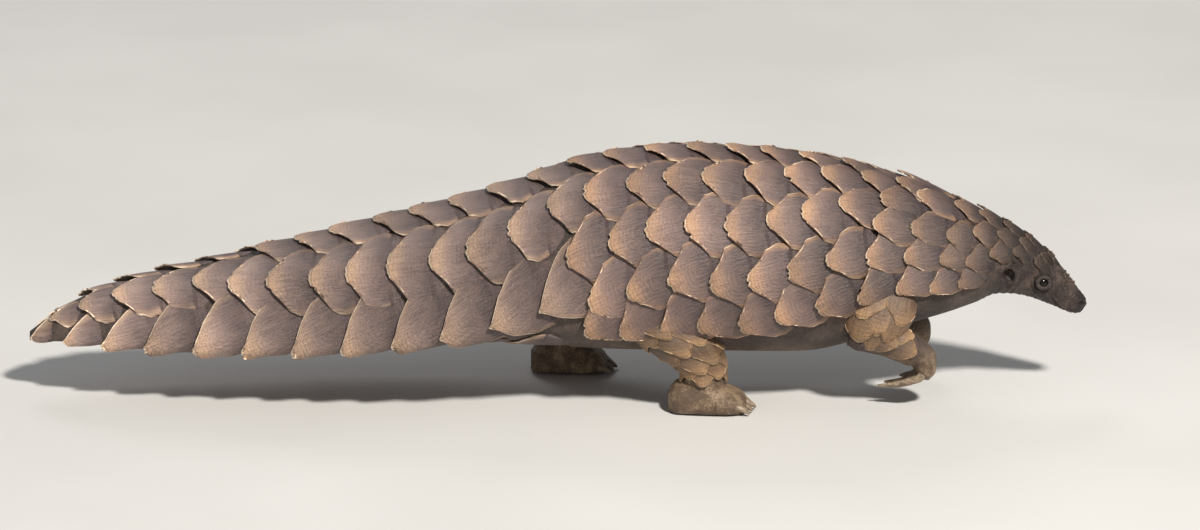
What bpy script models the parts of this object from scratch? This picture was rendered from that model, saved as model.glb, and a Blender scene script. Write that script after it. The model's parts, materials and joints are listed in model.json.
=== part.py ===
"""Ground pangolin, life size, walking on its hind feet with its tail held out straight behind it.

Every length is in metres. +X points to the snout, +Z up, and the floor is at z = 0. The near side in
the usual view is the animal's right, at -Y. The body is one smooth form through a row of stations,
parted by thin upright cuts, and the horny plates are raised on it in rows that run along the animal.
"""

import math
import random

import bmesh
import bpy
from mathutils import Matrix, Vector

# Driving dimensions
GAP = 0.0003            # clearance between two pieces that touch
FLAT_ANGLE = 0.05       # faces that meet at a smaller angle, in radians, are made one face
TRUER_FLAT_ANGLE = {"torso": 0.01, "tail_middle": 0.035}  # the legs are fitted to the torso
BODY_SIDES = 20         # points round one section of the body
RING_STEP = 0.032       # distance between two sections of the body, and of the neck and head
HEAD_STEP = 0.011
ROOT_SINK = 0.003       # how deep the root of a plate lies in the flesh
RISE_POWER = 0.5        # below 1, a plate rises fast at its root and then lies nearly level
THINNEST_LIFT = 0.0012  # least height of the free tip of a plate over the flesh
PLATE_CAMBER = 0.9      # how far a plate curves down to its sides, over the square of its width
PLATE_CROWN = (0.62, 0.06)  # where the highest point of a plate lies along it, and its share of lift
BELLY_SQUARENESS = 2.5  # 2 is an oval underside, more is flatter with fuller corners

# Body stations: x, height of the axis, nose-down lean in degrees, half width, rise, depth, hollow.
# Rise is measured from the axis up to the tips of the plates, and depth from it down to the belly
# or the underside of the tail. Hollow is how far the underside of the tail arches up in its middle.
BODY_STATIONS = (
    (-0.4755, 0.0510, 0, 0.004, 0.004, 0.004, 0.000),
    (-0.4600, 0.0525, 0, 0.019, 0.016, 0.006, 0.001),
    (-0.4450, 0.0540, 0, 0.029, 0.026, 0.006, 0.003),
    (-0.4110, 0.0550, 0, 0.046, 0.044, 0.007, 0.009),
    (-0.3200, 0.0570, 0, 0.068, 0.066, 0.008, 0.017),
    (-0.2300, 0.0600, 0, 0.083, 0.085, 0.009, 0.021),
    (-0.1400, 0.0695, 0, 0.096, 0.099, 0.014, 0.018),
    (-0.0500, 0.0895, 0, 0.100, 0.104, 0.036, 0.008),
    (0.0400, 0.1200, 0, 0.099, 0.102, 0.073, 0.000),
    (0.1300, 0.1320, 0, 0.097, 0.099, 0.088, 0.000),
    (0.2200, 0.1300, 0, 0.091, 0.093, 0.087, 0.000),
    (0.3100, 0.1305, 2, 0.069, 0.071, 0.066, 0.000),
    (0.3550, 0.1270, 6, 0.054, 0.054, 0.051, 0.000),
    (0.3860, 0.1250, 12, 0.041, 0.041, 0.040, 0.000),
    (0.4000, 0.1240, 17, 0.034, 0.034, 0.034, 0.000),
    (0.4170, 0.1185, 24, 0.0275, 0.0280, 0.0285, 0.000),
    (0.4350, 0.1085, 33, 0.0220, 0.0220, 0.0225, 0.000),
    (0.4530, 0.0945, 38, 0.0155, 0.0150, 0.0160, 0.000),
    (0.4640, 0.0855, 38, 0.0115, 0.0110, 0.0115, 0.000),
    (0.4715, 0.0797, 38, 0.0085, 0.0085, 0.0088, 0.000),
    (0.4745, 0.0772, 38, 0.0050, 0.0052, 0.0055, 0.000),
)
# Depth of the coat of plates inside those sizes: x, depth over the back and sides, depth below.
COAT_STATIONS = (
    (-0.476, 0.000, 0.000),
    (-0.440, 0.004, 0.002),
    (-0.380, 0.0065, 0.003),
    (-0.280, 0.008, 0.003),
    (-0.080, 0.008, 0.004),
    (0.000, 0.008, 0.000),
    (0.300, 0.008, 0.000),
    (0.355, 0.0045, 0.000),
    (0.400, 0.0025, 0.000),
    (0.440, 0.0012, 0.000),
    (0.462, 0.0000, 0.000),
)
# Where the body is parted, from tail to snout
CUTS = (
    ("tail_tip", -0.500, -0.300),
    ("tail_middle", -0.300, -0.130),
    ("tail_base", -0.130, 0.020),
    ("torso", 0.020, 0.335),
    ("neck", 0.335, 0.392),
    ("head", 0.392, 0.500),
)

HIND_FOOT_X = {"right": 0.136, "left": 0.012}  # middle of each hind sole
HIND_FOOT_Y = 0.062
HIP_X = 0.088
LEG_COAT = 0.004        # depth of the plates on the legs
WRIST = (0.320, 0, 0.051)
ANKLE_HEIGHT = 0.030

EYE_AT = (0.4365, 0.0205, 0.1068)
EYE_RADIUS = 0.0046
LID_SIZE = (0.0052, 0.0046)
LID_RADIUS = 0.0015
MOUTH_X = (0.4500, 0.4690)  # its corners and its front
MOUTH_TURN = 62             # how far its corners lie round the snout from below, in degrees
LIP_RADIUS = 0.0011
NOSTRIL = (0.4725, 62)   # x, and angle from the top of the snout
EAR_AT = (0.4060, 0.0325, 0.1150)

# Plates: distance between two tips of one row, and width, by x
PITCH_STATIONS = (
    (-0.470, 0.024),
    (-0.400, 0.036),
    (0.290, 0.034),
    (0.325, 0.030),
    (0.350, 0.021),
    (0.400, 0.019),
    (0.460, 0.016),
)
WIDTH_STATIONS = (
    (-0.476, 0.008),
    (-0.450, 0.026),
    (-0.420, 0.044),
    (-0.300, 0.062),
    (-0.150, 0.078),
    (-0.050, 0.072),
    (0.050, 0.062),
    (0.200, 0.058),
    (0.290, 0.046),
    (0.350, 0.035),
    (0.390, 0.029),
    (0.420, 0.021),
    (0.460, 0.012),
)
OVERLAP = 1.75  # length of a plate in pitches
RANDOM_SEED = 11

# Rows of plates on both sides: name, x of the first tip and of the last one, how far the tips point
# down, in radians, and the row's angle from the middle of the back, in degrees, by x. The middle
# row itself is not mirrored.
PLATE_ROWS = (
    ("middle", -0.272, 0.262, 0.0, ((-0.27, 0), (0.26, 0))),
    ("upper", -0.456, 0.314, 0.0, ((-0.32, 30), (-0.28, 42), (-0.08, 46), (0.00, 33), (0.13, 31),
                                   (0.21, 24), (0.278, 15), (0.314, 11))),
    ("side", 0.010, 0.446, 0.08, ((0.01, 68), (0.08, 62), (0.15, 62), (0.21, 53), (0.26, 42),
                                  (0.30, 32), (0.33, 21), (0.37, 13), (0.45, 12))),
    ("shoulder", 0.278, 0.442, 0.10, ((0.278, 56), (0.34, 58), (0.365, 48), (0.40, 36), (0.45, 36))),
    ("flank", 0.030, 0.425, 0.25, ((0.03, 96), (0.10, 92), (0.145, 96), (0.21, 86), (0.24, 80),
                                   (0.33, 80), (0.36, 84), (0.40, 62), (0.44, 60))),
    ("edge", 0.024, 0.372, 0.45, ((0.024, 112), (0.08, 122), (0.16, 120), (0.23, 110), (0.30, 106),
                                  (0.34, 110), (0.37, 106))),
)
# The sharp plates folded round the margin of the tail: x of the first and last tip, pitch, angle
MARGIN_ROW = (-0.4740, -0.006, 0.044, 90)
MARGIN_GROWTH = 0.10        # they grow to full size over this length from the end of the tail
MARGIN_LENGTH = (0.045, 0.080)
MARGIN_WIDTH = (0.030, 0.084)
MARGIN_WIDEST = 1.1         # no wider than this share of the tail's half width
MARGIN_LIFT = (0.003, 0.009)
MARGIN_CLOSENESS = (0.72, 1.0)  # share of the pitch from one tip to the next
MARGIN_RISE = 0.8           # they rise evenly, so that their tips stand out like the teeth of a saw
MARGIN_TURN = 0.36          # their tips point this far down, in radians, once they are full size
# The plates under the tail: x of the first tip right and left, length, lift, and how far out they
# lie and how wide they are, as shares of the tail's half width
UNDER_TAIL_START = (-0.429, -0.408)
UNDER_TAIL_LENGTH = 0.070
UNDER_TAIL_LIFT = 0.0035
UNDER_TAIL_SINK = 0.004
UNDER_TAIL_SPREAD = 0.34
UNDER_TAIL_WIDTH = 0.85
# Outline of a plate from root to tip: share of its length, and share of its width
PLATE_OUTLINE = ((0.00, 0.00), (0.28, 0.44), (0.60, 0.50), (0.86, 0.31), (1.00, 0.00))
MARGIN_OUTLINE = ((0.00, 0.00), (0.32, 0.48), (0.68, 0.37), (1.00, 0.00))
SMALL_OUTLINE = ((0.00, 0.00), (0.40, 0.48), (0.80, 0.36), (1.00, 0.00))
SMALL_FROM = 0.335  # plates of the neck and head, and those under the tail and on the legs, are small

HORN = (0.235, 0.175, 0.135)
SKIN = (0.120, 0.090, 0.080)
EYE = (0.012, 0.010, 0.010)


def smooth(keys, values, key):
    """Value at key on a curve through the stations that never overshoots them."""
    key = min(max(key, keys[0]), keys[-1])
    i = max(j for j in range(len(keys) - 1) if keys[j] <= key)
    rise = [(values[j + 1] - values[j]) / (keys[j + 1] - keys[j]) for j in range(len(keys) - 1)]

    def slope(j):
        if j == 0 or j == len(rise):
            return rise[min(j, len(rise) - 1)]
        if rise[j - 1] * rise[j] <= 0:
            return 0.0
        return 2 * rise[j - 1] * rise[j] / (rise[j - 1] + rise[j])

    span = keys[i + 1] - keys[i]
    t = (key - keys[i]) / span
    return (
        (2 * t**3 - 3 * t**2 + 1) * values[i]
        + (t**3 - 2 * t**2 + t) * span * slope(i)
        + (3 * t**2 - 2 * t**3) * values[i + 1]
        + (t**3 - t**2) * span * slope(i + 1)
    )


class Form:
    """A smooth form through stations, each one an oval section with its own lean.

    A station is x, y, z, lean, half width, rise, depth. The angle round a section is 0 at the top, or
    at the front of a leg, and a quarter turn at +Y. The key tells how far along the form a point is.
    """

    def __init__(self, stations, keys=None, squareness=2.0):
        self.keys = keys or list(range(len(stations)))
        self.columns = list(zip(*stations))
        self.squareness = squareness

    def station(self, key):
        return [smooth(self.keys, column, key) for column in self.columns]

    def point(self, key, angle, lift=0.0):
        """A point of the surface, raised squarely over it by lift or sunk towards the middle."""
        x, y, z, lean, half, rise, depth, *hollow = self.station(key)
        lean = math.radians(lean)
        across, up = math.sin(angle), math.cos(angle)
        power = 2.0 if up >= 0 else self.squareness
        tall = rise if up >= 0 else depth
        reach = (abs(across / half) ** power + abs(up / tall) ** power) ** (-1 / power)
        out = Vector((math.sin(lean) * up, across, math.cos(lean) * up))
        place = Vector((x, y, z)) + out * reach
        if up < 0 and hollow:
            place.z += hollow[0] * max(0.0, 1 - (across * reach / half) ** 2)
        if lift > 0:
            return place + self.normal(key, angle) * lift
        centre = (rise - depth + sum(hollow)) / 2
        middle = Vector((x + math.sin(lean) * centre, y, z + math.cos(lean) * centre))
        return place - (middle - place).normalized() * lift

    def along(self, key, angle):
        """Change of place with the key, forwards."""
        step = (self.keys[-1] - self.keys[0]) * 1e-3
        return (self.point(key + step, angle) - self.point(key - step, angle)) / (2 * step)

    def around(self, key, angle):
        """Change of place with the angle."""
        return (self.point(key, angle + 1e-3) - self.point(key, angle - 1e-3)) / 2e-3

    def normal(self, key, angle):
        return self.along(key, angle).cross(self.around(key, angle)).normalized()

    def walk(self, key, angle, forward, across, steps=4):
        """Key and angle of the place reached by walking over the surface."""
        for _ in range(steps):
            angle += across / steps / self.around(key, angle).length
        for _ in range(steps):
            key += forward / steps / max(self.along(key, angle).length, 1e-4)
        return key, angle


def body_form():
    """The flesh of the whole body, which lies inside the stations by the depth of the coat."""
    coat_keys, over, below = zip(*COAT_STATIONS)
    stations = []
    for x, z, lean, half, rise, depth, hollow in BODY_STATIONS:
        coat = smooth(coat_keys, over, x)
        under = smooth(coat_keys, below, x)
        stations.append((x, 0.0, z, lean, half - coat, rise - coat, depth - under, hollow))
    return Form(stations, [s[0] for s in stations], BELLY_SQUARENESS)


BODY = body_form()


def solid(name, bm):
    """An object made of a bmesh, with its faces pointing out."""
    bmesh.ops.recalc_face_normals(bm, faces=bm.faces)
    mesh = bpy.data.meshes.new(name)
    bm.to_mesh(mesh)
    bm.free()
    ob = bpy.data.objects.new(name, mesh)
    PARTS.objects.link(ob)
    return ob


def loft(name, form, keys, sides, lift=0.0):
    """A closed solid through the sections of a form at the given keys."""
    bm = bmesh.new()
    rings = []
    for key in keys:
        turn = 2 * math.pi / sides
        rings.append([bm.verts.new(form.point(key, turn * i, lift)) for i in range(sides)])
    for near, far in zip(rings, rings[1:]):
        for i in range(sides):
            bm.faces.new((near[i - 1], near[i], far[i]))
            bm.faces.new((near[i - 1], far[i], far[i - 1]))
    bm.faces.new(rings[0])
    bm.faces.new(rings[-1])
    return solid(name, bm)


def steps_between(start, end, step):
    count = max(1, round((end - start) / step))
    return [start + (end - start) * i / count for i in range(count + 1)]


def body_keys(start, end):
    """The body's own sections from the last one before start to the first one after end."""
    tail, neck, snout = BODY.keys[0], 0.320, BODY.keys[-1]
    keys = steps_between(tail, neck, RING_STEP) + steps_between(neck, snout, HEAD_STEP)[1:]
    first = max(i for i, key in enumerate(keys) if key <= max(start, tail) + 1e-9)
    last = min(i for i, key in enumerate(keys) if key >= min(end, snout) - 1e-9)
    return keys[first:last + 1]


def box(name, low, high):
    bm = bmesh.new()
    size = Vector(high) - Vector(low)
    middle = (Vector(high) + Vector(low)) / 2
    bmesh.ops.create_cube(bm, size=1.0, matrix=Matrix.Translation(middle) @ Matrix.Diagonal((*size, 1)))
    return solid(name, bm)


def ball(name, at, radii, turn=Matrix.Identity(4), segments=12, rings=8):
    bm = bmesh.new()
    shape = Matrix.Translation(at) @ turn @ Matrix.Diagonal((*radii, 1))
    bmesh.ops.create_uvsphere(bm, u_segments=segments, v_segments=rings, radius=1.0, matrix=shape)
    return solid(name, bm)


def apply_boolean(ob, pieces, operation):
    """Joins, cuts or crosses an object with others, which are removed."""
    pieces = list(pieces)
    group = bpy.data.collections.new("pieces")
    bpy.context.scene.collection.children.link(group)
    for piece in pieces:
        PARTS.objects.unlink(piece)
        group.objects.link(piece)
    join = ob.modifiers.new("join", "BOOLEAN")
    join.operation = operation
    join.operand_type = "COLLECTION"
    join.collection = group
    join.solver = "EXACT"
    seen = ob.evaluated_get(bpy.context.evaluated_depsgraph_get())
    mesh = bpy.data.meshes.new_from_object(seen)
    ob.modifiers.clear()
    ob.data = mesh
    for piece in pieces:
        bpy.data.objects.remove(piece)
    bpy.data.collections.remove(group)
    return ob


def keep_largest(ob, flat_angle):
    """Drops every closed surface but the largest, which also fills a sealed hollow."""
    bm = bmesh.new()
    bm.from_mesh(ob.data)
    bmesh.ops.remove_doubles(bm, verts=bm.verts, dist=1e-6)
    left = set(bm.faces)
    shells = []
    while left:
        todo = [left.pop()]
        shell = set(todo)
        while todo:
            for edge in todo.pop().edges:
                for face in edge.link_faces:
                    if face not in shell:
                        shell.add(face)
                        todo.append(face)
        left -= shell
        shells.append(shell)
    shells.sort(key=lambda shell: -sum(face.calc_area() for face in shell))
    drop = [face for shell in shells[1:] for face in shell]
    bmesh.ops.delete(bm, geom=drop, context="FACES")
    bmesh.ops.dissolve_limit(bm, angle_limit=flat_angle, verts=bm.verts, edges=bm.edges)
    bmesh.ops.triangulate(bm, faces=bm.faces)
    bm.to_mesh(ob.data)
    bm.free()
    return ob


def finish(ob, name, colour, roughness=0.6):
    """Names a finished node, and gives it a material of its own."""
    keep_largest(ob, TRUER_FLAT_ANGLE.get(name, FLAT_ANGLE))
    ob.name = name
    ob.data.name = name
    material = bpy.data.materials.new(name)
    material.use_nodes = True
    shader = material.node_tree.nodes["Principled BSDF"]
    shader.inputs["Base Color"].default_value = (*colour, 1)
    shader.inputs["Roughness"].default_value = roughness
    shader.inputs["Metallic"].default_value = 0.0
    ob.data.materials.clear()
    ob.data.materials.append(material)
    return ob


def side_sign(side):
    return -1 if side == "right" else 1


def station_value(stations, key):
    keys, values = zip(*stations)
    return smooth(keys, values, key)


def plate(form, tip, length, width, lift, turn=0.0, outline=PLATE_OUTLINE, sink=ROOT_SINK,
          rise=RISE_POWER):
    """One horny plate: a closed wedge that follows the form and rises from its root to its tip.

    Tip is a key and an angle. Turn swings the root round the tip, and half a turn puts it behind.
    """
    key, angle = tip
    ring = list(outline) + [(back, -across) for back, across in reversed(outline[1:-1])]

    def place(back, across, lifted):
        forward = length * (1 - back)
        sideways = across * width
        ahead = math.cos(turn) * forward - math.sin(turn) * sideways
        aside = math.sin(turn) * forward + math.cos(turn) * sideways
        return form.point(*form.walk(key, angle, ahead, aside), lifted)

    def top(back, across):
        dome = 1 - PLATE_CAMBER * across**2
        return (lift + sink) * back**rise * dome - sink

    bm = bmesh.new()
    upper = [bm.verts.new(place(back, across, top(back, across))) for back, across in ring]
    lower = [bm.verts.new(place(back, across, -2 * sink)) for back, across in ring]
    middle, peak = PLATE_CROWN
    crown = bm.verts.new(place(middle, 0, top(middle, 0) + peak * lift))
    base = bm.verts.new(place(middle, 0, -2.2 * sink))
    for i in range(len(ring)):
        bm.faces.new((upper[i - 1], upper[i], crown))
        bm.faces.new((lower[i], lower[i - 1], base))
        bm.faces.new((upper[i], upper[i - 1], lower[i - 1]))
        bm.faces.new((upper[i], lower[i - 1], lower[i]))
    return solid("plate", bm)


def reaches(x, length, start, end):
    """Whether a plate with its tip at x has any part between two upright planes."""
    spare = 0.02
    return x - spare < end and x + length + spare > start


def row_tips(start, end):
    """Where the tips of one row lie, each one pitch on from the last."""
    x = start
    while x <= end:
        yield x
        x += station_value(PITCH_STATIONS, x)


def body_plates(start, end):
    """All plates that reach between two upright planes."""
    draw = random.Random(RANDOM_SEED)
    for name, first, last, droop, angles in PLATE_ROWS:
        for sign in (-1, 1) if name != "middle" else (1,):
            for x in row_tips(first, last):
                length = OVERLAP * station_value(PITCH_STATIONS, x) * draw.uniform(0.94, 1.06)
                width = station_value(WIDTH_STATIONS, x) * draw.uniform(0.95, 1.05)
                shift = draw.uniform(-0.04, 0.04) * length
                coat = station_value([s[:2] for s in COAT_STATIONS], x)
                lift = max(coat, THINNEST_LIFT) * draw.uniform(0.85, 1.1)
                angle = sign * math.radians(station_value(angles, x))
                outline = PLATE_OUTLINE if x < SMALL_FROM else SMALL_OUTLINE
                if reaches(x, length, start, end):
                    yield plate(BODY, (x + shift, angle), length, width, lift, -sign * droop, outline)


def grown(sizes, share):
    """A size between the one at the end of the tail and the full one."""
    return sizes[0] + (sizes[1] - sizes[0]) * share


def margin_plates(start, end):
    """The folded plates along both margins of the tail."""
    draw = random.Random(RANDOM_SEED + 1)
    first, last, pitch, angle = MARGIN_ROW
    for sign in (-1, 1):
        x = first
        while x <= last:
            share = min(1.0, (x - first) / MARGIN_GROWTH)
            length = grown(MARGIN_LENGTH, share) * draw.uniform(0.95, 1.05)
            half = BODY.station(x + length / 3)[4]
            width = min(grown(MARGIN_WIDTH, share), MARGIN_WIDEST * half)
            shift = draw.uniform(-0.001, 0.001)
            if reaches(x, length, start, end):
                tip = (x + shift, sign * math.radians(angle))
                lift = grown(MARGIN_LIFT, share)
                turn = -sign * MARGIN_TURN * share
                yield plate(BODY, tip, length, width, lift, turn, MARGIN_OUTLINE, rise=MARGIN_RISE)
            x += pitch * grown(MARGIN_CLOSENESS, share)


def under_tail_plates(start, end):
    """Two rows of low plates under the tail."""
    last, pitch = MARGIN_ROW[1:3]
    for sign, x in zip((-1, 1), UNDER_TAIL_START):
        while x <= last - pitch / 2:
            half = BODY.station(x)[4]
            if reaches(x, UNDER_TAIL_LENGTH, start, end):
                tip = BODY.walk(x, math.pi, 0, sign * UNDER_TAIL_SPREAD * half, steps=8)
                width = UNDER_TAIL_WIDTH * half
                yield plate(BODY, tip, UNDER_TAIL_LENGTH, width, UNDER_TAIL_LIFT, 0.0, SMALL_OUTLINE,
                            UNDER_TAIL_SINK)
            x += pitch


def leg_room():
    """The legs with room for their own plates, which the plates of the body keep clear of."""
    room = LEG_COAT + 2 * GAP
    for side in ("right", "left"):
        yield loft("hind_room", hind_leg_form(side), steps_between(0, 5, 0.5), 24, room)
        upper, fore = fore_leg_forms(side)
        yield loft("arm_room", upper, steps_between(0, 3, 0.5), 24, room)
        yield loft("forearm_room", fore, steps_between(0, 4, 0.5), 24, room)


def body_length(name, start, end):
    """One length of the body, between two upright cuts."""
    core = loft(name, BODY, body_keys(start - GAP, end + GAP), BODY_SIDES)
    plates = [*body_plates(start, end), *margin_plates(start, end), *under_tail_plates(start, end)]
    coat = plates.pop()
    apply_boolean(coat, plates, "UNION")
    if name == "torso":
        apply_boolean(coat, leg_room(), "DIFFERENCE")
    apply_boolean(core, [coat], "UNION")
    slab = box("slab", (start + GAP / 2, -1, -1), (end - GAP / 2, 1, 1))
    return apply_boolean(core, [slab], "INTERSECT")


def hind_leg_form(side):
    """From the hip down to the floor, front first and the animal's left at a quarter turn."""
    sign = side_sign(side)
    foot = HIND_FOOT_X[side]
    y = sign * HIND_FOOT_Y
    return Form((
        (HIP_X, sign * 0.045, 0.125, 90, 0.030, 0.035, 0.038),
        (HIP_X, sign * 0.055, 0.090, 90, 0.031, 0.041, 0.043),
        ((HIP_X + foot) / 2, sign * 0.060, 0.062, 90, 0.025, 0.034, 0.036),
        (foot - 0.004, y, 0.034, 90, 0.018, 0.019, 0.019),
        (foot - 0.006, y, 0.012, 90, 0.019, 0.020, 0.020),
        (foot - 0.006, y, -0.010, 90, 0.019, 0.020, 0.020),
    ))


def fore_leg_forms(side):
    """The upper arm, and the forearm with the hand."""
    sign = side_sign(side)
    upper = Form((
        (0.292, sign * 0.040, 0.118, 100, 0.024, 0.030, 0.030),
        (0.290, sign * 0.052, 0.096, 102, 0.022, 0.031, 0.031),
        (0.282, sign * 0.060, 0.074, 100, 0.019, 0.025, 0.023),
        (0.279, sign * 0.060, 0.058, 85, 0.011, 0.013, 0.012),
    ))
    fore = Form((
        (0.262, sign * 0.060, 0.070, 15, 0.011, 0.012, 0.010),
        (0.276, sign * 0.060, 0.069, 22, 0.018, 0.018, 0.015),
        (0.300, sign * 0.057, 0.062, 28, 0.017, 0.016, 0.015),
        (0.320, sign * 0.053, 0.051, 40, 0.015, 0.014, 0.014),
        (0.329, sign * 0.050, 0.043, 70, 0.015, 0.012, 0.012),
        (0.330, sign * 0.050, 0.034, 95, 0.014, 0.010, 0.010),
        (0.328, sign * 0.050, 0.028, 110, 0.010, 0.007, 0.007),
    ))
    return upper, fore


def leg_plates(form, side, tips, angles, length, width):
    """Plates down the outer side of a leg, tips down. Angles are from its front, to the outside."""
    draw = random.Random(RANDOM_SEED + 2)
    for i, angle in enumerate(angles):
        for tip in tips[i % 2]:
            at = (tip, side_sign(side) * math.radians(angle))
            size = draw.uniform(0.92, 1.08)
            lift = LEG_COAT * draw.uniform(0.70, 0.88)
            yield plate(form, at, length * size, width * size, lift, math.pi, SMALL_OUTLINE)


def make_hind_leg(side):
    """A stout hind leg, parted from its foot at the ankle."""
    sign = side_sign(side)
    foot = HIND_FOOT_X[side]
    y = sign * HIND_FOOT_Y
    leg = hind_leg_form(side)
    thigh = loft("thigh", leg, steps_between(0, 5, 0.5), 14)
    ankle = loft("ankle", leg, steps_between(2, 5, 0.5), 14)
    plates = list(leg_plates(leg, side, ((1.9, 2.5), (2.2, 2.9)), (15, 65, 115, 165), 0.034, 0.036))
    apply_boolean(thigh, plates, "UNION")
    above = box("above", (-1, -1, ANKLE_HEIGHT + GAP / 2), (1, 1, 1))
    apply_boolean(thigh, [above], "INTERSECT")
    torso = loft("torso", BODY, body_keys(-0.10, 0.30), BODY_SIDES, lift=GAP)
    apply_boolean(thigh, [torso], "DIFFERENCE")
    finish(thigh, f"hindleg_{side}", HORN)

    sole = Form((
        (foot - 0.036, y, 0.010, 0, 0.012, 0.010, 0.014),
        (foot - 0.028, y, 0.010, 0, 0.019, 0.018, 0.015),
        (foot - 0.006, y, 0.010, 0, 0.023, 0.022, 0.016),
        (foot + 0.016, y, 0.009, 0, 0.025, 0.015, 0.015),
        (foot + 0.030, y, 0.008, 0, 0.021, 0.009, 0.012),
        (foot + 0.034, y, 0.007, 0, 0.015, 0.005, 0.009),
    ))
    pad = loft("pad", sole, steps_between(0, 5, 0.5), 14)
    pieces = [ankle]
    for i in range(5):
        spread = (i - 2) * 0.0095
        back = abs(i - 2) * 0.003
        claw = Form((
            (foot + 0.024 - back, y + spread, 0.0080, 20, 0.0042, 0.0040, 0.0040),
            (foot + 0.034 - back, y + spread * 1.05, 0.0068, 32, 0.0036, 0.0036, 0.0032),
            (foot + 0.042 - back, y + spread * 1.08, 0.0030, 45, 0.0014, 0.0014, 0.0012),
        ))
        pieces.append(loft("claw", claw, (0, 1, 2), 6))
    apply_boolean(pad, pieces, "UNION")
    floor_slab = box("floor_slab", (-1, -1, 0), (1, 1, ANKLE_HEIGHT - GAP / 2))
    apply_boolean(pad, [floor_slab], "INTERSECT")
    finish(pad, f"hindfoot_{side}", SKIN)


def half_space(name, at, lean, ahead):
    """A big block before or behind a plane through a point, leaning nose down by lean degrees."""
    bm = bmesh.new()
    frame = Matrix.Translation(at) @ Matrix.Rotation(math.radians(lean), 4, "Y")
    shift = 0.1 + GAP / 2 if ahead else -0.1 - GAP / 2
    bmesh.ops.create_cube(bm, size=0.2, matrix=frame @ Matrix.Translation((shift, 0, 0)))
    return solid(name, bm)


def make_fore_leg(side):
    """A foreleg folded under the chest, with its long claws curled back."""
    sign = side_sign(side)
    upper, fore = fore_leg_forms(side)
    arm = loft("arm", upper, steps_between(0, 3, 0.5), 12)
    plates = list(leg_plates(upper, side, ((1.5, 2.5), (2.0,)), (55, 100, 150), 0.044, 0.042))
    plates += leg_plates(fore, side, ((1.9, 2.7), (2.3,)), (50, 95), 0.026, 0.024)
    apply_boolean(arm, [loft("forearm", fore, steps_between(0, 4, 0.5), 12), *plates], "UNION")
    apply_boolean(arm, [half_space("behind", WRIST, 40, ahead=False)], "INTERSECT")
    torso = loft("torso", BODY, body_keys(0.15, 0.40), BODY_SIDES, lift=GAP)
    apply_boolean(arm, [torso], "DIFFERENCE")
    finish(arm, f"foreleg_{side}", HORN)

    hand = loft("hand", fore, steps_between(2.5, 6, 0.5), 12)
    pieces = []
    for i, length in enumerate((0.014, 0.026, 0.034, 0.028, 0.014)):
        y = sign * 0.050 + (i - 2) * 0.0052
        claw = Form((
            (0.329, y, 0.035, 100, 0.0026, 0.004, 0.004),
            (0.325, y, 0.030 - length * 0.05, 130, 0.0026, 0.004, 0.004),
            (0.322 - length * 0.5, y, 0.030 - length * 0.30, 160, 0.0020, 0.003, 0.003),
            (0.322 - length, y, 0.030 - length * 0.32, 185, 0.0008, 0.001, 0.001),
        ))
        pieces.append(loft("claw", claw, steps_between(0, 3, 1.0), 6))
    apply_boolean(hand, pieces, "UNION")
    apply_boolean(hand, [half_space("ahead", WRIST, 40, ahead=True)], "INTERSECT")
    finish(hand, f"forefoot_{side}", SKIN)


def tube(name, points, radius, sides=6):
    """A round bar through points of a line, thinner at its two ends."""
    bm = bmesh.new()
    rings = []
    for i, point in enumerate(points):
        ahead = (points[min(i + 1, len(points) - 1)] - points[max(i - 1, 0)]).normalized()
        aside = ahead.cross(Vector((0, 0, 1))).normalized()
        above = aside.cross(ahead)
        thin = radius * (0.45 if i in (0, len(points) - 1) else 1.0)
        turns = [2 * math.pi * j / sides for j in range(sides)]
        around = [aside * math.cos(turn) + above * math.sin(turn) for turn in turns]
        rings.append([bm.verts.new(point + away * thin) for away in around])
    for near, far in zip(rings, rings[1:]):
        for j in range(sides):
            bm.faces.new((near[j - 1], near[j], far[j], far[j - 1]))
    bm.faces.new(rings[0])
    bm.faces.new(rings[-1])
    return solid(name, bm)


def eye_place(side):
    return Vector((EYE_AT[0], side_sign(side) * EYE_AT[1], EYE_AT[2]))


def facing(side, forward=0.25, up=0.1):
    """Turns +Z to the way an eye or an ear on that side looks."""
    look = Vector((forward, side_sign(side), up))
    return look.to_track_quat("Z", "Y").to_matrix().to_4x4()


def lid_ring(side):
    """The thick lids round an eye, a ring with a long and a short axis."""
    frame = Matrix.Translation(eye_place(side)) @ facing(side)
    ring = []
    for i in range(12):
        turn = 2 * math.pi * i / 12
        ring.append(frame @ Vector((LID_SIZE[0] * math.cos(turn), LID_SIZE[1] * math.sin(turn), 0.0026)))
    bm = bmesh.new()
    middle = sum(ring, Vector()) / 12
    out = (frame.to_3x3() @ Vector((0, 0, 1))).normalized()
    loops = []
    for point in ring:
        away = (point - middle).normalized()
        turns = [2 * math.pi * j / 5 for j in range(5)]
        around = [away * math.cos(turn) + out * math.sin(turn) for turn in turns]
        loops.append([bm.verts.new(point + side * LID_RADIUS) for side in around])
    for i in range(12):
        for j in range(5):
            bm.faces.new((loops[i - 1][j - 1], loops[i - 1][j], loops[i][j], loops[i][j - 1]))
    return solid("lids", bm)


def mouth_line(shift, lift):
    """Points of the mouth, a narrow U under the snout, moved out by shift towards its tip."""
    back, front = MOUTH_X
    points = []
    for share in steps_between(-1, 1, 0.2):
        x = back + (front + shift - back) * (1 - abs(share) ** 1.6)
        angle = math.radians(180 + share * (MOUTH_TURN + 2200 * shift))
        points.append(BODY.point(x, angle, lift))
    return points


def head_details():
    """Lids and lips, which are joined to the head."""
    for side in ("right", "left"):
        yield lid_ring(side)
    yield tube("upper_lip", mouth_line(LIP_RADIUS * 1.3, 0.0002), LIP_RADIUS)
    yield tube("lower_lip", mouth_line(-LIP_RADIUS * 1.3, 0.0002), LIP_RADIUS)


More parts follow.
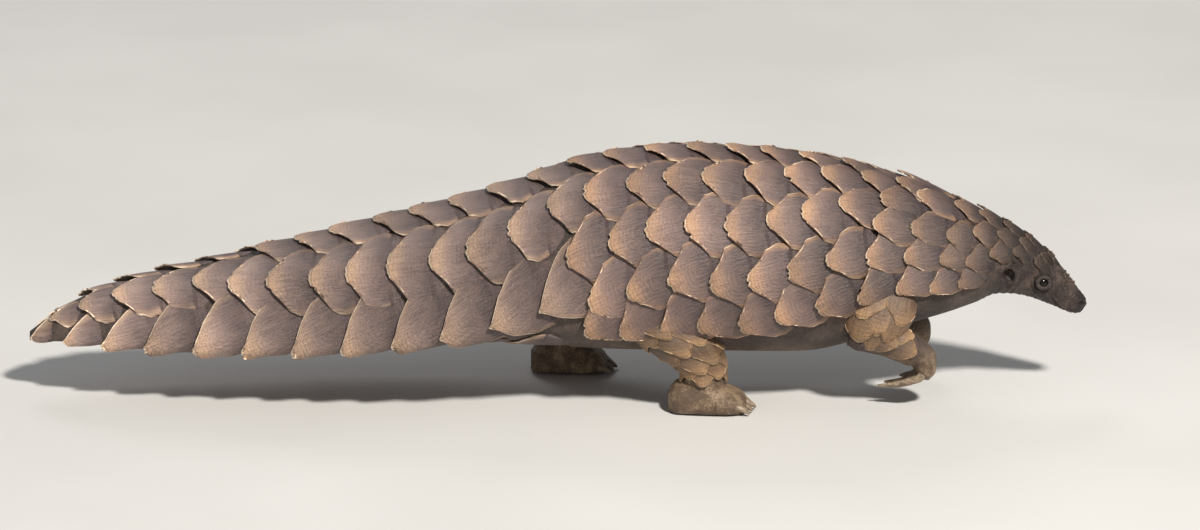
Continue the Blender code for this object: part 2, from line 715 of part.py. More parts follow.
def head_hollows():
    """Room for the eyes, the nostrils and the line of the mouth, which are cut from the head."""
    for side in ("right", "left"):
        yield ball("socket", eye_place(side), (EYE_RADIUS + GAP,) * 3, segments=10, rings=7)
        nostril = BODY.point(NOSTRIL[0], side_sign(side) * math.radians(NOSTRIL[1]))
        yield ball("nostril", nostril, (0.0014, 0.0016, 0.0011), segments=8, rings=5)
    yield tube("mouth", mouth_line(0, 0.0007), 0.0007, sides=4)


def make_eye(side):
    finish(ball("eye", eye_place(side), (EYE_RADIUS,) * 3, segments=10, rings=7), f"eye_{side}", EYE, 0.1)


def make_ear(side):
    """The thick rim of the ear hole, a low cup open to the front."""
    sign = side_sign(side)
    at = Vector((EAR_AT[0], sign * EAR_AT[1], EAR_AT[2]))
    cup = ball("cup", at, (0.0060, 0.0035, 0.0075), segments=10, rings=7)
    inside = at + Vector((0.002, sign * 0.003, 0))
    hollow = ball("hollow", inside, (0.0038, 0.0032, 0.0050), segments=8, rings=6)
    head = loft("head", BODY, body_keys(0.36, 0.47), BODY_SIDES, lift=GAP)
    apply_boolean(cup, [hollow, head], "DIFFERENCE")
    finish(cup, f"ear_{side}", SKIN)


def make_body():
    for name, start, end in CUTS:
        length = body_length(name, start, end)
        if name == "head":
            apply_boolean(length, head_details(), "UNION")
            apply_boolean(length, head_hollows(), "DIFFERENCE")
        finish(length, name, SKIN if name == "head" else HORN)


for leftover in list(bpy.data.objects):
    bpy.data.objects.remove(leftover)
PARTS = bpy.data.collections.new("pangolin")
bpy.context.scene.collection.children.link(PARTS)

make_body()
for side_name in ("right", "left"):
    make_eye(side_name)
    make_ear(side_name)
    make_hind_leg(side_name)
    make_fore_leg(side_name)
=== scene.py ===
# %% [markdown]
# # Ground pangolin, life size
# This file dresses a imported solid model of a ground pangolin. The animal walks on its two hind feet
# with its forelegs folded under the chest and its tail held out behind as a counterweight.
# The solids stay where they are. Over them go one skin, the horny plates, the claws and the eyes.
# Every length is in metres, +X points to the snout, +Z up, and the floor is at z = 0.

import json
import math
import random

import bmesh
import bpy
import numpy as np
from mathutils import Matrix, Vector

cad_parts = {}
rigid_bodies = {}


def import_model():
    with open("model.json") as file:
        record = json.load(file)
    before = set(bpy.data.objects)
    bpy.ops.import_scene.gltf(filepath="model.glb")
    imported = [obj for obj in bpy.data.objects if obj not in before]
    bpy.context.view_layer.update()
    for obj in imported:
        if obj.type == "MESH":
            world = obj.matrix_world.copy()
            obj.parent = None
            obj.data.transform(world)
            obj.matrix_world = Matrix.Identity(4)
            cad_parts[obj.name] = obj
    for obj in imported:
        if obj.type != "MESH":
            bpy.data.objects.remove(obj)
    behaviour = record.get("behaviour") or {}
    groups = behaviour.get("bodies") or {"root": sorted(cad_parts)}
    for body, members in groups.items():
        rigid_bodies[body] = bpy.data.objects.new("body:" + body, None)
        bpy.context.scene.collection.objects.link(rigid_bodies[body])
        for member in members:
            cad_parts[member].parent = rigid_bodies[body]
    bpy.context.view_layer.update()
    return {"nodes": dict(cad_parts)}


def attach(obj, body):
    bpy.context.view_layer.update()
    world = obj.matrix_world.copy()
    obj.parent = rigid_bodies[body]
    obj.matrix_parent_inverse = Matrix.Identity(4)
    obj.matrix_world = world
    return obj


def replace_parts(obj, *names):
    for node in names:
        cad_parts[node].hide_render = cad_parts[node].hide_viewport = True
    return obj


for leftover in list(bpy.data.objects):
    bpy.data.objects.remove(leftover)
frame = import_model()

# %% [markdown]
# ## The camera
# A walking pangolin is usually seen from a few metres away by someone standing. That gives a long
# lens and a view that looks down a little. The frame is found backwards, from how many metres one
# pixel of the picture covers, so the model and the picture can be laid over each other.

# %% Placing the camera
PICTURE_SIZE = (1200, 530)
METRES_PER_PIXEL = 0.0009
PICTURE_ORIGIN = (556.5, 390)  # the pixel where x and z are both 0
VIEW_TILT = math.radians(16)
VIEW_DISTANCE = 5.4
SENSOR_WIDTH = 36

middle_x = (PICTURE_SIZE[0] / 2 - PICTURE_ORIGIN[0]) * METRES_PER_PIXEL
middle_z = (PICTURE_ORIGIN[1] - PICTURE_SIZE[1] / 2) * METRES_PER_PIXEL / math.cos(VIEW_TILT)
camera = bpy.data.objects.new("camera", bpy.data.cameras.new("camera"))
bpy.context.scene.collection.objects.link(camera)
camera.data.sensor_width = SENSOR_WIDTH
camera.data.lens = SENSOR_WIDTH * VIEW_DISTANCE / (PICTURE_SIZE[0] * METRES_PER_PIXEL)
camera.location = Vector((middle_x, 0, middle_z)) + VIEW_DISTANCE * Vector(
    (0, -math.cos(VIEW_TILT), math.sin(VIEW_TILT)))
camera.rotation_euler = (math.pi / 2 - VIEW_TILT, 0, 0)
bpy.context.scene.camera = camera
print("lens", round(camera.data.lens), "mm, looking at", round(middle_x, 3), round(middle_z, 3))

# %% [markdown]
# ## Node trees in a few words
# A material is a tree of small steps. Writing each step by hand takes many lines, so one helper
# makes a step, sets its options and fills its inputs. An input gets either a plain value or the
# output of another step.

# %% Helpers for node trees
def step(tree, kind, inputs=None, **options):
    """Adds one node. The inputs are named or numbered, and take a value or another node's output."""
    made = tree.nodes.new("ShaderNode" + kind)
    for option, value in options.items():
        setattr(made, option, value)
    for name, value in (inputs or {}).items():
        if isinstance(value, bpy.types.NodeSocket):
            tree.links.new(value, made.inputs[name])
        else:
            made.inputs[name].default_value = value
    return made


def math_step(tree, operation, first, second=0.0):
    return step(tree, "Math", {0: first, 1: second}, operation=operation).outputs[0]


def times(tree, first, second):
    return math_step(tree, "MULTIPLY", first, second)


def plus(tree, first, second, share=None):
    """The sum of two values. With a share, only that much of the second is added."""
    return math_step(tree, "ADD", first, second if share is None else times(tree, second, share))


def attribute(tree, name):
    """What the points of a mesh remember under a name."""
    return step(tree, "Attribute", attribute_name=name, attribute_type="GEOMETRY").outputs["Fac"]


def object_place(tree):
    return step(tree, "TexCoord").outputs["Object"]


def ramp(tree, value, start, end, low=0.0, high=1.0):
    """Rises softly from low to high while the value goes from start to end."""
    inputs = {"Value": value, "From Min": start, "From Max": end, "To Min": low, "To Max": high}
    return step(tree, "MapRange", inputs, interpolation_type="SMOOTHSTEP").outputs[0]


def blend(tree, share, first, second, mode="MIX"):
    """Mixes two colours. Sockets 6 and 7 are the node's colour inputs, and output 2 its colour."""
    made = step(tree, "Mix", {0: share, 6: first, 7: second}, data_type="RGBA", blend_type=mode)
    return made.outputs[2]


def noise(tree, place, scale, detail=2.0, roughness=0.5):
    inputs = {"Vector": place, "Scale": scale, "Detail": detail, "Roughness": roughness}
    return step(tree, "TexNoise", inputs).outputs["Fac"]


def stretched(tree, place, factors):
    """The same place with each axis made longer or shorter, which stretches a pattern."""
    return step(tree, "VectorMath", {0: place, 1: factors}, operation="MULTIPLY").outputs[0]


def new_group(name, inputs, outputs):
    """A node group with named inputs and outputs, each a name, a socket kind and a first value."""
    tree = bpy.data.node_groups.new(name, "ShaderNodeTree")
    for label, kind, value in inputs:
        socket = tree.interface.new_socket(label, in_out="INPUT", socket_type="NodeSocket" + kind)
        socket.default_value = value
    for label, kind in outputs:
        tree.interface.new_socket(label, in_out="OUTPUT", socket_type="NodeSocket" + kind)
    enter = tree.nodes.new("NodeGroupInput")
    leave = tree.nodes.new("NodeGroupOutput")
    return tree, enter.outputs, leave.inputs


def new_material(name, roughness=0.5):
    material = bpy.data.materials.new(name)
    material.use_nodes = True
    shader = material.node_tree.nodes["Principled BSDF"]
    shader.inputs["Roughness"].default_value = roughness
    return material, material.node_tree, shader


def use_group(tree, group, inputs):
    return step(tree, "Group", inputs, node_tree=group).outputs


def bumped(tree, shader, height, distance, strength=1.0):
    """Joins a height to the shader as small relief, with its real depth in metres."""
    bump = step(tree, "Bump", {"Height": height, "Distance": distance, "Strength": strength})
    tree.links.new(bump.outputs[0], shader.inputs["Normal"])


print("node helpers ready")

# %% [markdown]
# ## The shape of the body as numbers
# The body of a pangolin is one long smooth form. It could be sculpted by hand, but then the plates
# would have nothing regular to follow. Here it is a row of oval sections with smooth curves between
# them. Any point of it is named by how far along it lies and by its angle round the section. Plates
# are laid by walking over this form, which keeps their true size wherever they lie.

# %% A form through oval sections
class Form:
    """A smooth form through stations: x, y, z, lean in degrees, half width, rise, depth, hollow."""

    def __init__(self, stations, keys=None, squareness=2.0):
        wide = [tuple(s) + (0.0,) * (8 - len(s)) for s in stations]
        self.keys = np.array(range(len(wide)) if keys is None else keys, float)
        self.values = np.array(wide, float)
        self.squareness = squareness
        rise = np.diff(self.values, axis=0) / np.diff(self.keys)[:, None]
        same_way = rise[:-1] * rise[1:] > 0
        total = np.where(same_way, rise[:-1] + rise[1:], 1.0)
        inner = np.where(same_way, 2 * rise[:-1] * rise[1:] / total, 0.0)
        self.slopes = np.vstack([rise[:1], inner, rise[-1:]])

    def station(self, key):
        key = np.clip(key, self.keys[0], self.keys[-1])
        i = np.clip(np.searchsorted(self.keys, key, side="right") - 1, 0, len(self.keys) - 2)
        span = (self.keys[i + 1] - self.keys[i])[:, None]
        t = (key - self.keys[i])[:, None] / span
        bent = (t**3 - 2 * t**2 + t) * self.slopes[i] + (t**3 - t**2) * self.slopes[i + 1]
        share = 3 * t**2 - 2 * t**3
        return (1 - share) * self.values[i] + share * self.values[i + 1] + bent * span

    def point(self, key, angle, lift=0.0):
        """Points of the surface, raised squarely over it or sunk towards the middle by lift."""
        key, angle, lift = np.broadcast_arrays(np.asarray(key, float), angle, lift)
        x, y, z, lean, half, rise, depth, hollow = self.station(key).T
        lean = np.radians(lean)
        across, up = np.sin(angle), np.cos(angle)
        power = np.where(up >= 0, 2.0, self.squareness)
        tall = np.where(up >= 0, rise, depth)
        reach = (np.abs(across / half) ** power + np.abs(up / tall) ** power) ** (-1 / power)
        place = np.stack([x + np.sin(lean) * up * reach, y + across * reach,
                          z + np.cos(lean) * up * reach], 1)
        arch = np.where(up < 0, hollow * np.maximum(0, 1 - (across * reach / half) ** 2), 0)
        place[:, 2] += arch
        if not np.any(lift):
            return place
        centre = (rise - depth + hollow) / 2
        middle = np.stack([x + np.sin(lean) * centre, y, z + np.cos(lean) * centre], 1)
        inward = middle - place
        inward /= np.linalg.norm(inward, axis=1)[:, None]
        way = np.where((lift > 0)[:, None], self.normal(key, angle), -inward)
        return place + way * lift[:, None]

    def along(self, key, angle):
        small = (self.keys[-1] - self.keys[0]) * 1e-3
        return (self.point(key + small, angle) - self.point(key - small, angle)) / (2 * small)

    def around(self, key, angle):
        return (self.point(key, angle + 1e-3) - self.point(key, angle - 1e-3)) / 2e-3

    def normal(self, key, angle):
        out = np.cross(self.along(key, angle), self.around(key, angle))
        return out / np.linalg.norm(out, axis=1)[:, None]

    def walk(self, key, angle, forward, across, steps=4):
        """Keys and angles of the places reached by walking over the surface."""
        key, angle, forward, across = np.broadcast_arrays(key, angle, forward, across)
        for _ in range(steps):
            angle = angle + across / steps / np.linalg.norm(self.around(key, angle), axis=1)
        for _ in range(steps):
            slope = np.maximum(np.linalg.norm(self.along(key, angle), axis=1), 1e-4)
            key = key + forward / steps / slope
        return key, angle


BODY_STATIONS = (
    (-0.4755, 0.0510, 0, 0.004, 0.004, 0.004, 0.000),
    (-0.4600, 0.0525, 0, 0.019, 0.016, 0.006, 0.001),
    (-0.4450, 0.0540, 0, 0.029, 0.026, 0.006, 0.003),
    (-0.4110, 0.0550, 0, 0.046, 0.044, 0.007, 0.009),
    (-0.3200, 0.0570, 0, 0.068, 0.066, 0.008, 0.017),
    (-0.2300, 0.0600, 0, 0.083, 0.085, 0.009, 0.021),
    (-0.1400, 0.0695, 0, 0.096, 0.099, 0.014, 0.018),
    (-0.0500, 0.0895, 0, 0.100, 0.104, 0.036, 0.008),
    (0.0400, 0.1200, 0, 0.099, 0.102, 0.073, 0.000),
    (0.1300, 0.1320, 0, 0.097, 0.099, 0.088, 0.000),
    (0.2200, 0.1300, 0, 0.091, 0.093, 0.087, 0.000),
    (0.3100, 0.1305, 2, 0.069, 0.071, 0.066, 0.000),
    (0.3550, 0.1270, 6, 0.054, 0.054, 0.051, 0.000),
    (0.3860, 0.1250, 12, 0.041, 0.041, 0.040, 0.000),
    (0.4000, 0.1240, 17, 0.034, 0.034, 0.034, 0.000),
    (0.4170, 0.1185, 24, 0.0275, 0.0280, 0.0285, 0.000),
    (0.4350, 0.1085, 33, 0.0220, 0.0220, 0.0225, 0.000),
    (0.4530, 0.0945, 38, 0.0155, 0.0150, 0.0160, 0.000),
    (0.4640, 0.0855, 38, 0.0115, 0.0110, 0.0115, 0.000),
    (0.4715, 0.0797, 38, 0.0085, 0.0085, 0.0088, 0.000),
    (0.4745, 0.0772, 38, 0.0050, 0.0052, 0.0055, 0.000),
)
# Depth of the coat inside those sizes: x, depth over the back and sides, depth below
COAT_X = (-0.476, -0.440, -0.380, -0.280, -0.080, 0.000, 0.300, 0.355, 0.400, 0.440, 0.462)
COAT_OVER = (0.0, 0.004, 0.0065, 0.008, 0.008, 0.008, 0.008, 0.0045, 0.0025, 0.0012, 0.0)
COAT_BELOW = (0.0, 0.002, 0.003, 0.003, 0.004, 0.0, 0.0, 0.0, 0.0, 0.0, 0.0)
BELLY_SQUARENESS = 2.5


def bare_body():
    rows = []
    for x, z, lean, half, rise, depth, hollow in BODY_STATIONS:
        coat, under = np.interp(x, COAT_X, COAT_OVER), np.interp(x, COAT_X, COAT_BELOW)
        rows.append((x, 0.0, z, lean, half - coat, rise - coat, depth - under, hollow))
    return Form(rows, [row[0] for row in rows], BELLY_SQUARENESS)


BODY = bare_body()
print("body from", BODY.keys[0], "to", BODY.keys[-1], "in", len(BODY.keys), "stations")

# %% [markdown]
# ## A flat grid rolled round a form
# The skin could be a cylinder that is pulled about, but a flat grid has two good points. Its rows and
# columns become the length and the girth of the form, and its own flat corners are a ready-made
# unwrap, the map that colours are stored on when the model is exported. So each form starts as a
# grid, is rolled round, has its seam merged and its two ends closed.

# %% Rolling a grid round a form
BAKE_MAP = "OFBake"


def steps_between(start, end, size):
    count = max(1, round((end - start) / size))
    return list(np.linspace(start, end, count + 1))


def object_from(name, bm):
    """Turns an edit mesh into an object of the scene, with its faces facing out."""
    bmesh.ops.recalc_face_normals(bm, faces=bm.faces)
    mesh = bpy.data.meshes.new(name)
    bm.to_mesh(mesh)
    bm.free()
    ob = bpy.data.objects.new(name, mesh)
    bpy.context.scene.collection.objects.link(ob)
    return ob


def surfaced(ob, material):
    """Gives an object smooth shading and its material."""
    ob.data.polygons.foreach_set("use_smooth", [True] * len(ob.data.polygons))
    ob.data.materials.append(material)


def rolled(name, form, keys, sides, patch, change=None):
    """A closed skin round a form. Patch is the corner and size of its place on the bake map."""
    bm = bmesh.new()
    uv = bm.loops.layers.uv.new(BAKE_MAP)
    bmesh.ops.create_grid(bm, x_segments=len(keys) - 1, y_segments=sides, size=0.5, calc_uvs=True)
    left, low, wide, high = patch
    for face in bm.faces:
        for loop in face.loops:
            flat = loop.vert.co
            loop[uv].uv = (left + (flat.x + 0.5) * wide, low + (flat.y + 0.5) * high)
    flat = np.array([vert.co[:2] for vert in bm.verts]) + 0.5
    key = np.interp(flat[:, 0] * (len(keys) - 1), range(len(keys)), keys)
    angle = 2 * math.pi * flat[:, 1] + math.pi
    place = form.point(key, angle)
    if change is not None:
        place = change(place, form.normal(key, angle))
    for vert, at in zip(bm.verts, place):
        vert.co = at
    bmesh.ops.remove_doubles(bm, verts=bm.verts, dist=2e-5)
    ends = [edge for edge in bm.edges if edge.is_boundary]
    caps = bmesh.ops.edgeloop_fill(bm, edges=ends)["faces"]
    bmesh.ops.poke(bm, faces=caps)
    return object_from(name, bm)


def triangles(ob):
    return sum(len(face.vertices) - 2 for face in ob.data.polygons)


print("a grid of 2 by 8 rolled round the body has",
      triangles(rolled("trial", BODY, [0.0, 0.1, 0.2], 8, (0, 0, 1, 1))), "triangles")
bpy.data.objects.remove(bpy.data.objects["trial"])

# %% [markdown]
# ## Where the features of the head lie
# The head is a short cone. It has a small eye in a thick wrinkled lid, a low fold round the ear hole,
# a small mouth under the snout and two slit nostrils. On a sculpt these would be pushed in with a
# brush. Here each is a place, and every point of the skin is moved by how far it lies from them.

# %% Places on the head
EYE_AT = (0.4365, 0.0205, 0.1068)
EYE_RADIUS = 0.0046
EYE_LOOK = (0.25, 1.0, 0.10)
EAR_AT = (0.4060, 0.0325, 0.1165)
EAR_RADIUS = 0.0058
NOSTRIL_KEY, NOSTRIL_ANGLE = 0.4706, 66
FACE_START = 0.405
MOUTH_BACK, MOUTH_FRONT, MOUTH_TURN = 0.4500, 0.4690, 62


def mirrored(point, sign):
    return np.array((point[0], sign * point[1], point[2]))


def mouth_points():
    share = np.linspace(-1, 1, 41)
    key = MOUTH_BACK + (MOUTH_FRONT - MOUTH_BACK) * (1 - np.abs(share) ** 1.6)
    return BODY.point(key, np.radians(180 + share * MOUTH_TURN))


def distance_to(points, places):
    """Distance from each point to the nearest of the places."""
    return np.min([np.linalg.norm(points - place, axis=1) for place in places], axis=0)


EYES = [mirrored(EYE_AT, sign) for sign in (-1, 1)]
EARS = [mirrored(EAR_AT, sign) for sign in (-1, 1)]
NOSTRILS = list(BODY.point(np.full(2, NOSTRIL_KEY), np.radians([-NOSTRIL_ANGLE, NOSTRIL_ANGLE])))
MOUTH = list(mouth_points())
print("mouth runs from", MOUTH[0].round(4), "by", MOUTH[20].round(4))


def mound(distance, at, width):
    """1 where the distance is at, falling off to nothing over width."""
    return np.exp(-(((distance - at) / width) ** 2))


def shape_head(place, normal):
    """Moves the skin's points in and out for the lids, ear, nostrils, mouth and folds."""
    eye = distance_to(place, EYES)
    ear = distance_to(place, EARS)
    nostril = distance_to(place, NOSTRILS)
    mouth = distance_to(place, MOUTH)
    push = 0.0013 * mound(eye, 0.0060, 0.0014) - 0.0030 * mound(eye, 0.0, 0.0036)
    push += 0.0008 * mound(eye, 0.0092, 0.0010) - 0.0008 * mound(eye, 0.0077, 0.0006)
    push += -0.0008 * mound(eye, 0.0108, 0.0007)
    push += -0.0065 * mound(ear, 0.0, 0.0046) + 0.0014 * mound(ear, 0.0082, 0.0018)
    push += -0.0030 * mound(nostril, 0.0, 0.0015) + 0.0008 * mound(nostril, 0.0029, 0.0009)
    push += -0.0012 * mound(mouth, 0.0, 0.0006) + 0.0007 * mound(mouth, 0.0016, 0.0008)
    x, y, z = place.T
    fold = np.sin(x * 900 + y * 260 + np.sin(z * 410) * 1.4)
    push += 0.00030 * fold * mound(x, FACE_START, 0.032)
    crease = np.sin(x * 1500 - z * 700 + np.sin(z * 330 + y * 250) * 1.8)
    push += 0.00016 * crease * np.clip((x - FACE_START) / 0.02, 0, 1) * np.clip((eye - 0.011) / 0.004, 0, 1)
    return place + normal * push[:, None]


# %% [markdown]
# ## The limbs
# The hind legs carry the animal: thick, slightly bent, with a round sole like a small elephant's.
# The forelegs are folded, because their long claws are for digging and would be worn down by
# walking. Each limb is a form of its own, from the hip or shoulder down, so it gets the same grid.

# %% Forms of the limbs
HIND_FOOT_X = {-1: 0.136, 1: 0.012}  # the right foot is forward, the left one back
HIND_FOOT_Y = 0.062
HIP_X = 0.088
TOE_SPACING, TOE_SETBACK = 0.0095, 0.003  # the outer toes lie further back


def hind_leg_form(sign):
    foot = HIND_FOOT_X[sign]
    y = sign * HIND_FOOT_Y
    return Form((
        (HIP_X, sign * 0.045, 0.125, 90, 0.030, 0.035, 0.038),
        (HIP_X, sign * 0.055, 0.090, 90, 0.031, 0.041, 0.043),
        ((HIP_X + foot) / 2, sign * 0.060, 0.062, 90, 0.025, 0.034, 0.036),
        (foot - 0.004, y, 0.034, 90, 0.018, 0.019, 0.019),
        (foot - 0.006, y, 0.0125, 90, 0.0185, 0.0195, 0.0195),
    ))


def sole_form(sign):
    foot = HIND_FOOT_X[sign]
    y = sign * HIND_FOOT_Y
    return Form((
        (foot - 0.036, y, 0.010, 0, 0.010, 0.008, 0.008),
        (foot - 0.028, y, 0.010, 0, 0.019, 0.018, 0.0098),
        (foot - 0.006, y, 0.010, 0, 0.023, 0.022, 0.0098),
        (foot + 0.016, y, 0.009, 0, 0.0245, 0.0150, 0.0088),
        (foot + 0.030, y, 0.008, 0, 0.020, 0.009, 0.0078),
        (foot + 0.034, y, 0.007, 0, 0.013, 0.005, 0.0060),
    ), squareness=4.5)


def toe_form(sign, i):
    foot, spread, back = HIND_FOOT_X[sign], (i - 2) * TOE_SPACING, abs(i - 2) * TOE_SETBACK
    y = sign * HIND_FOOT_Y + spread
    return Form((
        (foot + 0.012 - back, y, 0.0100, 8, 0.0060, 0.0062, 0.0070),
        (foot + 0.022 - back, y, 0.0092, 16, 0.0060, 0.0060, 0.0068),
        (foot + 0.029 - back, y, 0.0078, 24, 0.0052, 0.0050, 0.0056),
        (foot + 0.033 - back, y, 0.0070, 28, 0.0030, 0.0028, 0.0030),
    ))


def fore_leg_forms(sign):
    upper = Form((
        (0.292, sign * 0.040, 0.118, 100, 0.024, 0.030, 0.030),
        (0.290, sign * 0.052, 0.096, 102, 0.022, 0.031, 0.031),
        (0.282, sign * 0.060, 0.074, 100, 0.019, 0.025, 0.023),
        (0.279, sign * 0.060, 0.058, 85, 0.011, 0.013, 0.012),
    ))
    fore = Form((
        (0.262, sign * 0.060, 0.070, 15, 0.011, 0.012, 0.010),
        (0.276, sign * 0.060, 0.069, 22, 0.018, 0.018, 0.015),
        (0.300, sign * 0.057, 0.062, 28, 0.017, 0.016, 0.015),
        (0.320, sign * 0.053, 0.051, 40, 0.015, 0.014, 0.014),
        (0.329, sign * 0.050, 0.043, 70, 0.015, 0.012, 0.012),
        (0.330, sign * 0.050, 0.034, 95, 0.014, 0.010, 0.010),
        (0.328, sign * 0.050, 0.028, 110, 0.010, 0.007, 0.007),
    ))
    return upper, fore


def ear_form(sign):
    """A thick fold of skin that curls round the front of the ear hole."""
    stations = []
    for i, turn in enumerate(np.linspace(140, -110, 9)):
        phi = math.radians(turn)
        swell = math.sin(math.pi * (i + 0.6) / 9.2)
        x = EAR_AT[0] + EAR_RADIUS * 0.85 * math.cos(phi)
        z = EAR_AT[2] + EAR_RADIUS * 1.25 * math.sin(phi)
        stations.append((x, sign * (EAR_AT[1] - 0.0022), z, 90 - turn, 0.0010 + 0.0032 * swell,
                         0.0006 + 0.0013 * swell, 0.0006 + 0.0011 * swell))
    return Form(stations)


print("limb forms: 2 hind legs with soles and toes, 2 forelegs in 2 lengths")

# %% [markdown]
# ## One skin
# The solids are parted so that each can be named, but a real skin has no seams. So the body and the
# limbs are rolled as grids, joined into one closed surface with a Boolean union, and then smoothed
# only along the lines where they meet. A voxel remesh would join them too, but it would lose the
# fine points of the head and the bake map.

# %% Rolling and joining the skin
SKIN_SIDES = 144
BODY_STEP, HEAD_STEP, HEAD_START = 0.0065, 0.00075, 0.3860

body_keys = steps_between(BODY.keys[0], HEAD_START, BODY_STEP)[:-1]
body_keys += steps_between(HEAD_START, BODY.keys[-1], HEAD_STEP)
skin = rolled("skin", BODY, body_keys, SKIN_SIDES, (0.01, 0.31, 0.98, 0.68), shape_head)

limbs = []
for column, sign in enumerate((-1, 1)):
    left = 0.01 + 0.5 * column
    upper, fore = fore_leg_forms(sign)
    for name, form, size, sides, patch in (
        ("thigh", hind_leg_form(sign), 0.1, 56, (left, 0.01, 0.15, 0.28)),
        ("sole", sole_form(sign), 0.2, 48, (left + 0.16, 0.01, 0.09, 0.125)),
        ("arm", upper, 0.1, 48, (left + 0.16, 0.16, 0.09, 0.13)),
        ("forearm", fore, 0.16, 48, (left + 0.26, 0.16, 0.21, 0.13)),
        ("ear", ear_form(sign), 0.2, 24, (left + 0.16, 0.145, 0.05, 0.012)),
        *(("toe", toe_form(sign, i), 0.25, 20, (left + 0.26 + 0.042 * i, 0.01, 0.037, 0.13))
          for i in range(5)),
    ):
        limbs.append(rolled(name, form, steps_between(0, len(form.keys) - 1, size), sides, patch))
# Two passing materials, which tell after the union where each face came from
origins = [bpy.data.materials.new(label) for label in ("trunk", "limb")]
for number, piece in enumerate([skin, *limbs]):
    for origin in origins:
        piece.data.materials.append(origin)
    piece.data.polygons.foreach_set("material_index", [min(number, 1)] * len(piece.data.polygons))


def join_closed(ob, pieces):
    """Joins closed meshes into one closed mesh and removes the ones that were added."""
    group = bpy.data.collections.new("limbs")
    bpy.context.scene.collection.children.link(group)
    for piece in pieces:
        bpy.context.scene.collection.objects.unlink(piece)
        group.objects.link(piece)
    join = ob.modifiers.new("join", "BOOLEAN")
    join.operation, join.solver = "UNION", "EXACT"
    join.operand_type, join.collection = "COLLECTION", group
    mesh = bpy.data.meshes.new_from_object(ob.evaluated_get(bpy.context.evaluated_depsgraph_get()))
    ob.modifiers.clear()
    ob.data = mesh
    for piece in pieces:
        bpy.data.objects.remove(piece)
    bpy.data.collections.remove(group)


join_closed(skin, limbs)
print("skin joined:", triangles(skin), "triangles")

# %% [markdown]
# ## Softening the places where limbs meet the body
# A union leaves a hard crease. Each edge whose two faces came from different pieces lies on it. The
# points near those edges are relaxed a few times, which gives the soft fold of real skin.

# %% Softening the creases
CREASE_REACH = 0.007
SOFTENING_PASSES = 6

bm = bmesh.new()
bm.from_mesh(skin.data)
crease = set()
for edge in bm.edges:
    if len({face.material_index for face in edge.link_faces}) > 1:
        crease.update(edge.verts)
crease_places = np.array([vert.co[:] for vert in crease])
near = []
for vert in bm.verts:
    if vert.co.x < 0.36 and vert.co.z < 0.11 and abs(vert.co.y) > 0.02:
        if np.min(np.sum((crease_places - np.array(vert.co)) ** 2, axis=1)) < CREASE_REACH**2:
            near.append(vert)
for _ in range(SOFTENING_PASSES):
    bmesh.ops.smooth_vert(bm, verts=near, factor=0.5, use_axis_x=True, use_axis_y=True, use_axis_z=True)
for face in bm.faces:
    face.material_index = 0
    face.smooth = True
bmesh.ops.triangulate(bm, faces=[face for face in bm.faces if len(face.verts) > 4])
bm.to_mesh(skin.data)
bm.free()
print("points softened:", len(near), "of", len(skin.data.vertices))

# %% [markdown]
# ## How one horny plate is made
# A plate is a thin shield of horn. Its root is buried in the skin, and its free end lies over the
# plates behind it. The end is rounded, but years of digging and rubbing chip it. A plate could be
# cut out of a flat sheet with a knife tool. It is simpler to bend a small flat grid: the rows are
# narrowed to the outline, the last rows are bowed into the rounded end, and small notches are pulled
# back from the rim. The grid is then walked over the body's form, so it curves as the body does.
# Each point also remembers how far it is from the rim, which the colours need later.

# %% Laying one plate
ROOT_SINK = 0.003
RISE_POWER = 0.45  # below 1, a plate rises fast at its root and then lies nearly level
PLATE_THICKNESS = 0.0014


class Outline:
    """Half width of a plate by its length, as shares, with how far its end is bowed."""

    def __init__(self, length_shares, width_shares, bow, chips):
        self.length_shares, self.width_shares = length_shares, width_shares
        self.bow, self.chips = bow, chips


SHIELD = Outline((0.0, 0.28, 0.55, 0.80, 1.0), (0.20, 0.44, 0.51, 0.45, 0.25), 0.20, 1.0)
POINTED = Outline((0.0, 0.32, 0.58, 0.80, 1.0), (0.22, 0.50, 0.42, 0.25, 0.02), 0.03, 0.5)
SMALL = Outline((0.0, 0.30, 0.60, 0.85, 1.0), (0.25, 0.46, 0.52, 0.42, 0.24), 0.22, 0.8)


